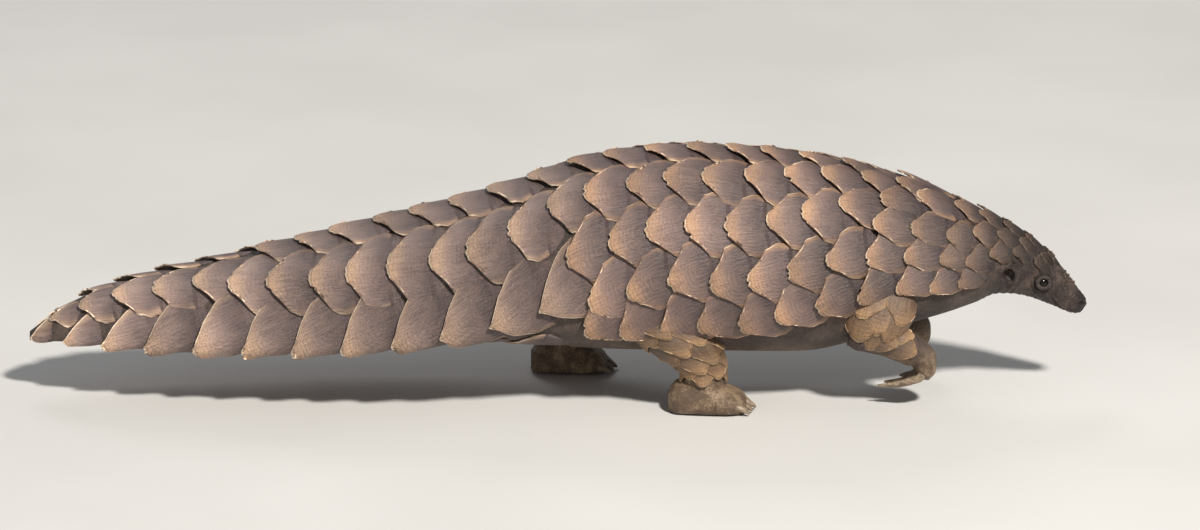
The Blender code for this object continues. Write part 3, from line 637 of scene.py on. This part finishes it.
class Coat:
    """Collects plates in one mesh, with what each of their points remembers."""

    def __init__(self, name, across, along):
        self.name, self.across, self.along = name, across, along
        self.bm = bmesh.new()
        self.notes = {"rim": [], "back": [], "tone": [], "map": [], "cell": []}
        self.count = 0

    def lay(self, form, tip, length, width, lift, draw, turn=0.0, outline=SHIELD, rise=RISE_POWER):
        grid = bmesh.ops.create_grid(
            self.bm, x_segments=self.across, y_segments=self.along, size=0.5)["verts"]
        flat = np.array([vert.co[:2] for vert in grid])
        side, rows = 2 * flat[:, 0], flat[:, 1] + 0.5
        back = rows * (1 - outline.bow * np.abs(side) ** 2.2)
        share = np.interp(rows, outline.length_shares, outline.width_shares)
        across = side * share
        end = (1 - rows) * length
        edge = (1 - np.abs(side)) * share * width
        rim = np.where(rows > 0.35, np.minimum(end, edge), end)
        chip = np.zeros(len(grid))
        for _ in range(5):
            at, wide = draw.uniform(-1.0, 1.0), draw.uniform(0.05, 0.14)
            chip += draw.uniform(0.1, 1.0) ** 2 * np.exp(-(((side - at) / wide) ** 2))
        chip += 0.16 * np.sin(side * draw.uniform(16, 24) + draw.uniform(0, 6))
        back = back - outline.chips * chip * 0.045 * rows**9
        across = across * (1 - 0.05 * outline.chips * np.sin(rows * 30 + draw.uniform(0, 6))
                           * rows**3 * side**6)
        ahead, aside = length * (1 - back), across * width
        forward = math.cos(turn) * ahead - math.sin(turn) * aside
        sideways = math.sin(turn) * ahead + math.cos(turn) * aside
        dome = 1 - 0.9 * np.minimum(np.abs(across), 0.55) ** 2
        top = (lift + ROOT_SINK) * np.maximum(back, 0) ** rise * dome - ROOT_SINK
        top -= 0.0005 * mound(rim, 0.0, 0.0022) * min(1.0, lift / 0.006)
        warp = math.sin(draw.uniform(0, 6)) * 0.07 * lift
        top += warp * side * rows**2
        key, angle = form.walk(np.full(len(grid), tip[0]), np.full(len(grid), tip[1]), forward, sideways)
        for vert, at in zip(grid, form.point(key, angle, top)):
            vert.co = at
        shift = (draw.uniform(0, 50), draw.uniform(0, 50))
        self.notes["rim"].append(rim * 100 * max(1.0, 0.035 / length))
        self.notes["back"].append(back)
        self.notes["tone"].append(np.full(len(grid), draw.random()))
        self.notes["map"].append(np.stack([across * width * 10 + shift[0], back * length * 10 + shift[1]], 1))
        self.notes["cell"].append(np.stack([flat[:, 0] + 0.5, rows, np.full(len(grid), self.count)], 1))
        self.count += 1

    def finished(self, material):
        """Makes the object, spreads the notes over its mesh and gives the horn its thickness."""
        ob = object_from(self.name, self.bm)
        mesh = ob.data
        corners = np.empty(len(mesh.loops), int)
        mesh.loops.foreach_get("vertex_index", corners)
        for note in ("rim", "back", "tone"):
            values = np.concatenate(self.notes[note]).astype(np.float32)
            mesh.attributes.new(note, "FLOAT", "POINT").data.foreach_set("value", values)
        cells = math.ceil(math.sqrt(self.count))
        place = np.concatenate(self.notes["cell"])
        column, row = place[:, 2] % cells, place[:, 2] // cells
        spare = 0.06
        bake = np.stack([column + spare + place[:, 0] * (1 - 2 * spare),
                         row + spare + place[:, 1] * (1 - 2 * spare)], 1) / cells
        for label, values in (("plate", np.concatenate(self.notes["map"])), (BAKE_MAP, bake)):
            layer = mesh.uv_layers.new(name=label)
            layer.data.foreach_set("uv", values[corners].astype(np.float32).ravel())
        surfaced(ob, material)
        thick = ob.modifiers.new("thickness", "SOLIDIFY")
        thick.thickness, thick.offset, thick.use_rim = PLATE_THICKNESS, -1.0, True
        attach(ob, "root")
        print(self.name, self.count, "plates,", 4 * len(mesh.polygons), "triangles")
        return ob


print("outlines:", SHIELD.width_shares, POINTED.width_shares)

# %% [markdown]
# ## Horn as a material
# Pangolin plates are keratin, like fingernails. Seen close, the middle of a plate is grey-brown with a
# purple tinge, and towards the rim the horn gets thin and lets amber through. The worn rim itself is
# nearly cream. Fine grooves run from root to tip, and faint curved lines show how the plate grew.
# A painted image could hold all that for one plate. Several hundred plates need a rule instead, so
# the pattern is worked out from each plate's own map and from the distance to its rim.

# %% The horn group
horn_group, given, out = new_group("worn_horn", (
    ("Map", "Vector", (0, 0, 0)), ("Rim", "Float", 1.0), ("Back", "Float", 0.5), ("Tone", "Float", 0.5),
    ("Middle", "Color", (0.2, 0.13, 0.1, 1)), ("Root_and_shade", "Color", (0.2, 0.15, 0.14, 1)),
    ("Amber", "Color", (0.4, 0.2, 0.1, 1)), ("Cream", "Color", (0.6, 0.45, 0.3, 1)),
    ("Dirt", "Color", (0.2, 0.13, 0.08, 1)), ("Grooves", "Float", 1.0), ("Dirtiness", "Float", 0.3),
    ("Light", "Float", 1.0),
), (("Color", "Color"), ("Roughness", "Float"), ("Height", "Float")))
t = horn_group
grooves = noise(t, stretched(t, given["Map"], (1.0, 0.045, 1.0)), 95.0, 3.0, 0.6)
fine = noise(t, stretched(t, given["Map"], (1.0, 0.12, 1.0)), 260.0, 2.0, 0.6)
cloud = noise(t, given["Map"], 4.5, 3.0, 0.55)
grain = noise(t, given["Map"], 60.0, 3.0, 0.65)
growth = math_step(t, "SINE", times(t, plus(t, given["Rim"], cloud, 0.9), 17.0))
# The root end, which lies under the plate in front, is darker: partly the horn's own colour, partly painted
# shade cast by the plate over it
root_shade_share = ramp(t, plus(t, given["Back"], cloud, 0.16), 0.42, 0.90)
amber_reach = ramp(t, plus(t, given["Rim"], grain, 0.5), 1.05, 0.15)
amber_end = ramp(t, plus(t, given["Back"], grain, 0.22), 0.78, 1.08, 0.0, 0.85)
amber_share = math_step(t, "MAXIMUM", times(t, amber_reach, 0.75), amber_end)
amber_share = times(t, amber_share, ramp(t, cloud, 0.25, 0.70, 0.55, 1.0))
cream_rim = ramp(t, plus(t, given["Rim"], grain, 0.16), 0.30, 0.10)
cream_share = times(t, cream_rim, ramp(t, given["Back"], 0.40, 0.62))
colour = blend(t, root_shade_share, given["Root_and_shade"], given["Middle"])
colour = blend(t, amber_share, colour, given["Amber"])
colour = blend(t, cream_share, colour, given["Cream"])
dirt = ramp(t, noise(t, given["Map"], 9.0, 4.0, 0.7), 0.48, 0.72)
dirt_share = times(t, dirt, given["Dirtiness"])
colour = blend(t, dirt_share, colour, given["Dirt"])
bright = ramp(t, grooves, 0.30, 0.70, -0.20, 0.16)
bright = plus(t, bright, ramp(t, given["Tone"], 0.0, 1.0, -0.16, 0.16))
bright = plus(t, bright, ramp(t, grain, 0.30, 0.70, -0.14, 0.14))
bright = plus(t, bright, growth, 0.025)
bright = plus(t, bright, ramp(t, cloud, 0.3, 0.7, 0.90, 1.10))
# Light scales the brightness by where the plate lies along the body; on the back and the tail this is painted
# light
bright = times(t, bright, given["Light"])
shade = step(t, "CombineColor", {0: bright, 1: bright, 2: bright}).outputs[0]
colour = blend(t, 1.0, colour, shade, "MULTIPLY")
height = times(t, plus(t, grooves, fine, 0.5), given["Grooves"])
height = plus(t, height, growth, 0.10)
height = plus(t, height, grain, 0.35)
t.links.new(colour, out["Color"])
t.links.new(ramp(t, plus(t, grain, amber_share), 0.2, 1.4, 0.40, 0.62), out["Roughness"])
t.links.new(height, out["Height"])
print("worn_horn has", len(t.nodes), "steps")


DIRT_COLOUR = (0.17, 0.105, 0.062, 1)


def horn_material(name, middle, root, amber, cream, grooves=1.0, dirtiness=0.3, relief=0.00045, brightness_by_x=None):
    """The last argument gives the x where the brightness of the horn begins to change, where it ends, and by
    how much. On the back and the tail this change is painted light.
    """
    material, tree, shader = new_material(name)
    ahead = step(tree, "SeparateXYZ", {0: object_place(tree)}).outputs["X"]
    light = ramp(tree, ahead, brightness_by_x[0], brightness_by_x[1], 1.0, brightness_by_x[2]) if brightness_by_x else 1.0
    notes = {label: attribute(tree, label.lower()) for label in ("Rim", "Back", "Tone")}
    plate_map = step(tree, "UVMap", uv_map="plate").outputs[0]
    made = use_group(tree, horn_group, {
        "Map": plate_map, "Middle": (*middle, 1), "Root_and_shade": (*root, 1), "Amber": (*amber, 1),
        "Cream": (*cream, 1), "Dirt": DIRT_COLOUR, "Grooves": grooves, "Dirtiness": dirtiness,
        "Light": light, **notes})
    tree.links.new(made["Color"], shader.inputs["Base Color"])
    tree.links.new(made["Roughness"], shader.inputs["Roughness"])
    bumped(tree, shader, made["Height"], relief)
    return material


# Painted shade: the back's plates are darkened from the middle of the back towards the shoulders and the neck
BACK_HORN = horn_material("back_horn", (0.225, 0.148, 0.124), (0.085, 0.058, 0.057),
                          (0.520, 0.300, 0.165), (0.880, 0.660, 0.460), relief=0.0008,
                          brightness_by_x=(0.15, 0.335, 0.66))
# Painted sheen: the tail's plates are lightened towards the end of the tail
TAIL_HORN = horn_material("tail_horn", (0.265, 0.185, 0.158), (0.110, 0.078, 0.074),
                          (0.530, 0.345, 0.220), (0.900, 0.720, 0.540), grooves=1.8, relief=0.0009,
                          brightness_by_x=(-0.15, -0.40, 1.30))
HEAD_HORN = horn_material("head_horn", (0.150, 0.098, 0.076), (0.062, 0.042, 0.038),
                          (0.240, 0.142, 0.085), (0.330, 0.225, 0.150), dirtiness=0.6, relief=0.0007,
                          brightness_by_x=(0.350, 0.430, 0.26))
LEG_HORN = horn_material("leg_horn", (0.185, 0.110, 0.060), (0.090, 0.056, 0.036),
                         (0.350, 0.205, 0.100), (0.500, 0.340, 0.200), dirtiness=0.6, relief=0.0007)

# %% [markdown]
# ## The rows of plates
# The plates grow in long rows, each row shifted by half a plate from its neighbours, as roof tiles
# are. The rows run from the crown to the end of the tail. Their spacing and size change slowly, and
# every plate gets a small random difference in size, lift, direction and wear. The random numbers
# start from a fixed seed, so the same animal comes out each time.

# %% Sizes and rows
PITCH = ((-0.470, -0.400, 0.290, 0.325, 0.350, 0.400, 0.460),
         (0.024, 0.036, 0.034, 0.030, 0.021, 0.019, 0.016))
WIDTH = ((-0.476, -0.450, -0.420, -0.300, -0.150, -0.050, 0.050, 0.200, 0.290, 0.350, 0.390, 0.420, 0.460),
         (0.008, 0.026, 0.044, 0.062, 0.078, 0.072, 0.062, 0.058, 0.046, 0.035, 0.029, 0.021, 0.012))
OVERLAP = 1.75
SEED = 11
# Name, x of the first and last tip, how far the tips point down in radians, and the row's angle
# from the middle of the back by x
ROWS = (
    ("middle", -0.272, 0.262, 0.0, (-0.27, 0.26), (0, 0)),
    ("upper", -0.456, 0.314, 0.0, (-0.32, -0.28, -0.08, 0.0, 0.13, 0.21, 0.278, 0.314),
     (30, 42, 46, 33, 31, 24, 15, 11)),
    ("side", 0.010, 0.446, 0.08, (0.01, 0.08, 0.15, 0.21, 0.26, 0.30, 0.33, 0.37, 0.45),
     (68, 62, 62, 53, 42, 32, 21, 13, 12)),
    ("shoulder", 0.278, 0.442, 0.10, (0.278, 0.34, 0.365, 0.40, 0.45), (56, 58, 48, 36, 36)),
    ("flank", 0.030, 0.425, 0.25, (0.03, 0.10, 0.145, 0.21, 0.24, 0.33, 0.36, 0.40, 0.44),
     (96, 92, 96, 86, 80, 80, 84, 62, 60)),
    ("edge", 0.024, 0.372, 0.45, (0.024, 0.08, 0.16, 0.23, 0.30, 0.34, 0.37),
     (112, 122, 120, 110, 106, 110, 106)),
)
NECK_START, TAIL_END = 0.335, 0.000


def coat_for(x):
    """Which coat a plate belongs to, by the x of its tip."""
    return "tail" if x < TAIL_END else "back" if x < NECK_START else "head"


coats = {"tail": Coat("tail_plates", 18, 16), "back": Coat("back_plates", 18, 16),
         "head": Coat("head_plates", 14, 12), "leg": Coat("leg_plates", 12, 10)}
draw = random.Random(SEED)
for name, first, last, droop, row_x, row_angle in ROWS:
    for sign in (-1, 1) if name != "middle" else (1,):
        x = first
        while x <= last:
            pitch = float(np.interp(x, *PITCH))
            length = OVERLAP * pitch * draw.uniform(0.94, 1.06)
            width = float(np.interp(x, *WIDTH)) * draw.uniform(0.95, 1.05)
            shift = draw.uniform(-0.04, 0.04) * length
            lift = max(float(np.interp(x, COAT_X, COAT_OVER)), 0.0012) * draw.uniform(0.85, 1.1)
            angle = sign * math.radians(float(np.interp(x, row_x, row_angle)))
            outline = SHIELD if x < NECK_START else SMALL
            coats[coat_for(x)].lay(BODY, (x + shift, angle), length, width, lift, draw,
                                   turn=-sign * droop + draw.uniform(-0.06, 0.06), outline=outline)
            x += pitch
print("rows laid:", {label: coat.count for label, coat in coats.items()})

# %% Small plates of the forehead
BROW_ROWS = ((0.4500, 0.4570, 8), (0.4470, 0.4540, 27), (0.4490, 0.4530, 47))  # first x, last x, angle
BROW_PITCH, BROW_LENGTH, BROW_WIDTH, BROW_LIFT = 0.0062, 0.0130, 0.0098, 0.0006

for first, last, degrees in BROW_ROWS:
    for sign in (-1, 1):
        x = first
        while x <= last:
            size = draw.uniform(0.85, 1.10) * (1 - 18 * (x - 0.4470))
            tip = (x, sign * math.radians(degrees + draw.uniform(-3, 3)))
            lift = BROW_LIFT * draw.uniform(0.7, 1.2)
            coats["head"].lay(BODY, tip, BROW_LENGTH * size, BROW_WIDTH * size, lift, draw,
                              turn=-sign * 0.1, outline=SMALL)
            x += BROW_PITCH * draw.uniform(0.9, 1.1)
print("plates of the head with the forehead:", coats["head"].count)

# %% [markdown]
# ## The margin of the tail
# Along both edges of the tail the plates are folded over the margin and end in sharp points, like the
# teeth of a saw. They are longer than the others and show the strongest grooves. Under the tail lie
# two rows of low plates, which the animal drags or leans on.

# %% Margin plates and plates under the tail
MARGIN_FIRST, MARGIN_LAST, MARGIN_PITCH, MARGIN_ANGLE, MARGIN_DROOP = -0.4740, -0.006, 0.044, 90, 0.36
MARGIN_RISE = 0.8  # they rise evenly, so that their tips stand out
UNDER_LENGTH, UNDER_LIFT, UNDER_SPREAD, UNDER_WIDTH = 0.070, 0.0035, 0.34, 0.85

draw = random.Random(SEED + 1)
for sign in (-1, 1):
    x = MARGIN_FIRST
    while x <= MARGIN_LAST:
        share = min(1.0, (x - MARGIN_FIRST) / 0.10)
        length = (0.045 + 0.035 * share) * draw.uniform(0.95, 1.05)
        half = float(BODY.station(np.array([x + length / 3]))[0, 4])
        width = min(0.030 + 0.054 * share, 1.1 * half)
        tip = (x + draw.uniform(-0.001, 0.001), sign * math.radians(MARGIN_ANGLE))
        turn = -sign * MARGIN_DROOP * share
        coats["tail"].lay(BODY, tip, length, width, 0.003 + 0.006 * share, draw, turn, POINTED, MARGIN_RISE)
        x += MARGIN_PITCH * (0.72 + 0.28 * share)
for sign, x in ((-1, -0.429), (1, -0.408)):
    while x <= MARGIN_LAST - MARGIN_PITCH / 2:
        half = float(BODY.station(np.array([x]))[0, 4])
        key, angle = BODY.walk(np.array([x]), np.array([math.pi]), 0.0, sign * UNDER_SPREAD * half, steps=8)
        coats["tail"].lay(BODY, (key[0], angle[0]), UNDER_LENGTH, UNDER_WIDTH * half, UNDER_LIFT, draw)
        x += MARGIN_PITCH
print("tail plates:", coats["tail"].count)

# %% [markdown]
# ## Plates on the legs
# The outer sides of the legs carry smaller plates that point down and get smaller towards the foot.
# The inner sides are bare. The rows are laid on the leg forms in the same way as on the body, only
# with their roots above their tips.

# %% Laying the leg plates
LEG_COAT = 0.004


def lay_on_leg(form, sign, tips, angles, length, width):
    for i, angle in enumerate(angles):
        for tip in tips[i % 2]:
            size = draw.uniform(0.90, 1.10) * (1 - 0.12 * max(0.0, tip - 2.2))
            lift = LEG_COAT * draw.uniform(0.70, 0.95)
            turn = math.pi + draw.uniform(-0.12, 0.12)
            coats["leg"].lay(form, (tip, sign * math.radians(angle)), length * size, width * size, lift,
                             draw, turn, SMALL)


draw = random.Random(SEED + 2)
for sign in (-1, 1):
    hind = hind_leg_form(sign)
    lay_on_leg(hind, sign, ((1.6, 2.2, 2.8, 3.3), (1.9, 2.5, 3.05)), (5, 48, 91, 134, 172), 0.038, 0.038)
    upper, fore = fore_leg_forms(sign)
    lay_on_leg(upper, sign, ((1.5, 2.4), (1.95, 2.85)), (40, 85, 130), 0.046, 0.042)
    lay_on_leg(fore, sign, ((1.7, 2.5), (2.1, 2.9)), (35, 80), 0.028, 0.028)
pieces = [coats["tail"].finished(TAIL_HORN), coats["back"].finished(BACK_HORN),
          coats["head"].finished(HEAD_HORN), coats["leg"].finished(LEG_HORN)]

# %% [markdown]
# ## Skin as a material
# The face, throat, belly and inner legs are bare. The skin of the face is dark, nearly purple-brown,
# crossed by fine wrinkles with pale dusty flecks between them, and the nose is darker still. The legs
# are dusted with ochre earth. The belly is paler than the face, but darker than its own grey: partly
# its own dark tone, partly painted shade under the body. The nostrils, the mouth, the ear hole and the
# crease round the eye are painted nearly black, as painted shade in these hollows. One group makes
# the wrinkled pattern, and the material chooses the colours by where on the animal the point lies.

# %% Marks that the skin remembers
def note(mesh, name, values):
    mesh.attributes.new(name, "FLOAT", "POINT").data.foreach_set("value", values.astype(np.float32))


places = np.array([vert.co[:] for vert in skin.data.vertices])
normals = np.array([vert.normal[:] for vert in skin.data.vertices])
eye_distance = distance_to(places, EYES)
# Painted shade in hollows: the nostrils, the mouth line, the ear hole and a crease round the eye are marked,
# and the skin's colour goes nearly black there
hollow_shade_marks = 1.3 * mound(distance_to(places, NOSTRILS), 0.0, 0.0020)
hollow_shade_marks = hollow_shade_marks + mound(distance_to(places, MOUTH), 0.0, 0.0007)
hollow_shade_marks += 1.2 * mound(distance_to(places, EARS), 0.0, 0.0062) + 0.7 * mound(eye_distance, 0.0080, 0.0008)
low = np.clip((0.075 - places[:, 2]) / 0.05, 0, 1) * (places[:, 0] > -0.05)
belly = np.clip(-normals[:, 2], 0, 1) * (places[:, 2] > 0.03)
note(skin.data, "eye_distance", eye_distance * 100)
note(skin.data, "hollow_shade", np.clip(hollow_shade_marks, 0, 1))
note(skin.data, "dust", low)
note(skin.data, "belly", belly)
print("skin marks: eye, pit, dust, belly on", len(places), "points")

# %% The skin group and material
skin_group, given, out = new_group("wrinkled_skin", (
    ("Place", "Vector", (0, 0, 0)), ("Base", "Color", (0.03, 0.02, 0.02, 1)),
    ("Fleck", "Color", (0.2, 0.15, 0.12, 1)), ("Scale", "Float", 1.0), ("Flecks", "Float", 0.5),
), (("Color", "Color"), ("Height", "Float")))
t = skin_group
scaled = step(t, "VectorMath", {0: given["Place"], 3: given["Scale"]}, operation="SCALE").outputs[0]
drift = noise(t, scaled, 90.0, 3.0, 0.6)
cells = step(t, "TexVoronoi", {"Vector": scaled, "Scale": 620.0}, feature="DISTANCE_TO_EDGE")
folds = noise(t, stretched(t, scaled, (1.0, 0.35, 0.5)), 330.0, 4.0, 0.65)
speck = noise(t, scaled, 760.0, 3.0, 0.75)
fleck_share = times(t, ramp(t, plus(t, speck, drift, 0.6), 0.76, 0.92), given["Flecks"])
colour = blend(t, fleck_share, given["Base"], given["Fleck"])
shade_value = ramp(t, drift, 0.25, 0.75, 0.72, 1.28)
shade = step(t, "CombineColor", {0: shade_value, 1: shade_value, 2: shade_value}).outputs[0]
colour = blend(t, 1.0, colour, shade, "MULTIPLY")
height = plus(t, ramp(t, cells.outputs["Distance"], 0.0, 0.10, 0.0, 0.5), folds)
t.links.new(colour, out["Color"])
t.links.new(height, out["Height"])

SKIN, tree, shader = new_material("bare_skin", 0.62)
here = object_place(tree)
marks = {name: attribute(tree, name) for name in ("eye_distance", "hollow_shade", "dust", "belly")}
face = use_group(tree, skin_group, {"Place": here, "Base": (0.034, 0.021, 0.018, 1),
                                    "Fleck": (0.125, 0.086, 0.070, 1), "Flecks": 0.70})
leg = use_group(tree, skin_group, {"Place": here, "Base": (0.150, 0.095, 0.058, 1),
                                   "Fleck": (0.330, 0.240, 0.150, 1), "Scale": 0.85, "Flecks": 0.8})
# The skin of the body and belly: partly its own dark tone, partly painted shade under the body
under = use_group(tree, skin_group, {"Place": here, "Base": (0.070, 0.048, 0.040, 1),
                                     "Fleck": (0.150, 0.108, 0.086, 1), "Scale": 0.35, "Flecks": 0.4})
ahead = step(tree, "SeparateXYZ", {0: here}).outputs["X"]
colour = blend(tree, ramp(tree, ahead, FACE_START, 0.360), face["Color"], under["Color"])
colour = blend(tree, ramp(tree, marks["dust"], 0.2, 0.8), colour, leg["Color"])
eye_ring = ramp(tree, marks["eye_distance"], 1.05, 0.60, 0.0, 0.80)
colour = blend(tree, eye_ring, colour, (0.046, 0.034, 0.031, 1))
colour = blend(tree, ramp(tree, ahead, 0.462, 0.4725, 0.0, 0.85), colour, (0.010, 0.007, 0.007, 1))
# Painted shade: nearly black in the marked hollows of the nostrils, mouth, ear and eye crease
colour = blend(tree, ramp(tree, marks["hollow_shade"], 0.25, 0.90), colour, (0.006, 0.004, 0.004, 1))
tree.links.new(colour, shader.inputs["Base Color"])
rings = math_step(tree, "SINE", times(tree, marks["eye_distance"], 62.0))
ring_share = times(tree, rings, ramp(tree, marks["eye_distance"], 1.3, 0.6, 0.0, 0.8))
bumped(tree, shader, plus(tree, face["Height"], ring_share), 0.0011)
skin.data.materials.clear()
for origin in origins:
    bpy.data.materials.remove(origin)
skin.data.materials.append(SKIN)
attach(skin, "root")
FLESH = [name for name in frame["nodes"] if not name.startswith("eye_")]
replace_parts(skin, *FLESH)
print("skin stands for", len(FLESH), "solids")

# %% [markdown]
# ## Eyes
# The eye is small, round and nearly black, so what makes it look alive is one clear highlight. A ball
# alone would do for the dark part. The lids leave an opening a little wider than high. Here both are
# one thick closed ring, a small circle spun all the way round the direction in which the eye looks.

# %% Eyes and lids
EYE, tree, shader = new_material("eye", 0.10)
here = object_place(tree)
mottle = noise(tree, here, 900.0, 2.0)
tree.links.new(blend(tree, ramp(tree, mottle, 0.3, 0.7), (0.0015, 0.001, 0.001, 1), (0.006, 0.003, 0.002, 1)),
               shader.inputs["Base Color"])
shader.inputs["Specular IOR Level"].default_value = 0.25
shader.inputs["Coat Weight"].default_value = 0.15
shader.inputs["Coat Roughness"].default_value = 0.04
LID_REACH = (0.0058, 0.0050)
LID_THICKNESS = 0.0012


def eye_frame(sign):
    look = Vector((EYE_LOOK[0], sign * EYE_LOOK[1], EYE_LOOK[2])).normalized()
    turned = look.to_track_quat("Z", "Y").to_matrix().to_4x4()
    return Matrix.Translation(mirrored(EYE_AT, sign)) @ turned


def made_object(name, bm, material):
    ob = object_from(name, bm)
    surfaced(ob, material)
    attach(ob, "root")
    return ob


for side, sign in (("right", -1), ("left", 1)):
    bm = bmesh.new()
    bmesh.ops.create_uvsphere(bm, u_segments=40, v_segments=24, radius=EYE_RADIUS, matrix=eye_frame(sign))
    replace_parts(made_object(f"eyeball_{side}", bm, EYE), f"eye_{side}")
    bm = bmesh.new()
    upright = Matrix.Translation((1.0, 0, 0)) @ Matrix.Rotation(math.pi / 2, 4, "X")
    bmesh.ops.create_circle(bm, segments=12, radius=LID_THICKNESS, matrix=upright)
    bmesh.ops.spin(bm, geom=bm.edges[:], axis=(0, 0, 1), cent=(0, 0, 0), angle=2 * math.pi, steps=64,
                   use_merge=True, use_duplicate=False)
    for vert in bm.verts:
        around = math.atan2(vert.co.y, vert.co.x)
        out_by, up_by = math.hypot(vert.co.x, vert.co.y) - 1.0, vert.co.z
        reach = Vector((LID_REACH[0] * math.cos(around), LID_REACH[1] * math.sin(around), 0.0))
        way = reach.normalized()
        wrinkle = 1 + 0.10 * math.sin(around * 9 + out_by * 900)
        vert.co = reach + way * out_by * 1.5 * wrinkle + Vector((0, 0, 0.0030 + up_by * 0.9 * wrinkle))
    bmesh.ops.transform(bm, matrix=eye_frame(sign), verts=bm.verts)
    lids = made_object(f"lids_{side}", bm, SKIN)
    for name, value in (("eye_distance", 0.7), ("hollow_shade", 0.0), ("dust", 0.0), ("belly", 0.0)):
        note(lids.data, name, np.full(len(lids.data.vertices), value))
    print("eye and lids on the", side, triangles(lids), "triangles")

# %% [markdown]
# ## Claws
# A pangolin digs for ants with three long curved claws on each forefoot, and walks on stout hind feet
# with five short blunt nails. A claw is a cone that is bent and flattened. Here it is a form with a
# few stations, so it can taper and curve at once, and the same rolled grid makes all twenty.

# %% Claws of all four feet
CLAW, tree, shader = new_material("claw", 0.42)
here = object_place(tree)
streak = noise(tree, stretched(tree, here, (0.25, 1.0, 1.0)), 900.0, 3.0, 0.6)
patchy = noise(tree, here, 130.0, 3.0, 0.6)
colour = blend(tree, ramp(tree, streak, 0.3, 0.7), (0.150, 0.105, 0.070, 1), (0.330, 0.250, 0.170, 1))
colour = blend(tree, ramp(tree, patchy, 0.5, 0.7, 0.0, 0.6), colour, (0.070, 0.048, 0.034, 1))
tree.links.new(colour, shader.inputs["Base Color"])
bumped(tree, shader, streak, 0.0003)


def hind_claw_form(sign, i):
    foot, spread, back = HIND_FOOT_X[sign], (i - 2) * TOE_SPACING, abs(i - 2) * TOE_SETBACK
    y = sign * HIND_FOOT_Y
    return Form((
        (foot + 0.024 - back, y + spread, 0.0090, 20, 0.0040, 0.0040, 0.0036),
        (foot + 0.034 - back, y + spread * 1.05, 0.0072, 32, 0.0036, 0.0034, 0.0030),
        (foot + 0.040 - back, y + spread * 1.07, 0.0042, 42, 0.0024, 0.0022, 0.0018),
        (foot + 0.0425 - back, y + spread * 1.08, 0.0022, 48, 0.0010, 0.0010, 0.0008),
    ))


def fore_claw_form(sign, i):
    length = (0.014, 0.026, 0.034, 0.028, 0.014)[i]
    y = sign * 0.050 + (i - 2) * 0.0052
    return Form((
        (0.329, y, 0.0350, 100, 0.0026, 0.004, 0.004),
        (0.325, y, 0.0300 - length * 0.05, 130, 0.0026, 0.004, 0.004),
        (0.322 - length * 0.5, y, 0.030 - length * 0.30, 160, 0.0020, 0.003, 0.003),
        (0.322 - length, y, 0.030 - length * 0.32, 185, 0.0008, 0.001, 0.001),
    ))


for side, sign in (("right", -1), ("left", 1)):
    for foot, make in (("hind", hind_claw_form), ("fore", fore_claw_form)):
        for i in range(5):
            form = make(sign, i)
            claw = rolled(f"claw_{foot}_{side}_{i}", form, steps_between(0, len(form.keys) - 1, 0.15), 16,
                          (0.02, 0.02, 0.96, 0.96))
            surfaced(claw, CLAW)
            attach(claw, "root")

# %% [markdown]
# ## Floor and light
# Museum models are shown on a pale floor under soft lights. The larger an area light is, the softer
# its shadow. The main light is the smallest of the three. It stands high on the side of the head, so
# that each plate throws a clear shadow from its free end. A large weak one on the side of the tail
# fills the shadows, and another one behind brightens the back and the far side.

# %% Floor, lights and surroundings
bm = bmesh.new()
bmesh.ops.create_grid(bm, x_segments=1, y_segments=1, size=12.0)
mesh = bpy.data.meshes.new("floor")
bm.to_mesh(mesh)
bm.free()
floor = bpy.data.objects.new("floor", mesh)
bpy.context.scene.collection.objects.link(floor)
FLOOR, tree, shader = new_material("floor", 0.7)
shade = ramp(tree, noise(tree, object_place(tree), 3.0, 2.0), 0.3, 0.7)
tree.links.new(blend(tree, shade, (0.62, 0.61, 0.59, 1), (0.66, 0.65, 0.63, 1)), shader.inputs["Base Color"])
mesh.materials.append(FLOOR)


def soft_light(name, at, size, power, colour):
    lamp = bpy.data.lights.new(name, "AREA")
    lamp.shape, lamp.size, lamp.energy, lamp.color = "DISK", size, power, colour
    ob = bpy.data.objects.new(name, lamp)
    bpy.context.scene.collection.objects.link(ob)
    ob.location = at
    ob.rotation_euler = (Vector((0, 0, 0.1)) - Vector(at)).to_track_quat("-Z", "Y").to_euler()


soft_light("key", (2.5, -4.6, 5.4), 0.85, 780, (1.0, 0.96, 0.90))
soft_light("fill", (-4.2, -4.2, 2.0), 2.6, 32, (0.93, 0.96, 1.0))
soft_light("back", (-1.2, 4.6, 4.0), 2.6, 60, (0.97, 0.98, 1.0))
world = bpy.data.worlds.new("studio")
bpy.context.scene.world = world
world.use_nodes = True
world.node_tree.nodes["Background"].inputs["Color"].default_value = (0.90, 0.92, 0.95, 1)
world.node_tree.nodes["Background"].inputs["Strength"].default_value = 0.20
bpy.context.scene.view_settings.view_transform = "Standard"
print("floor and three lights")
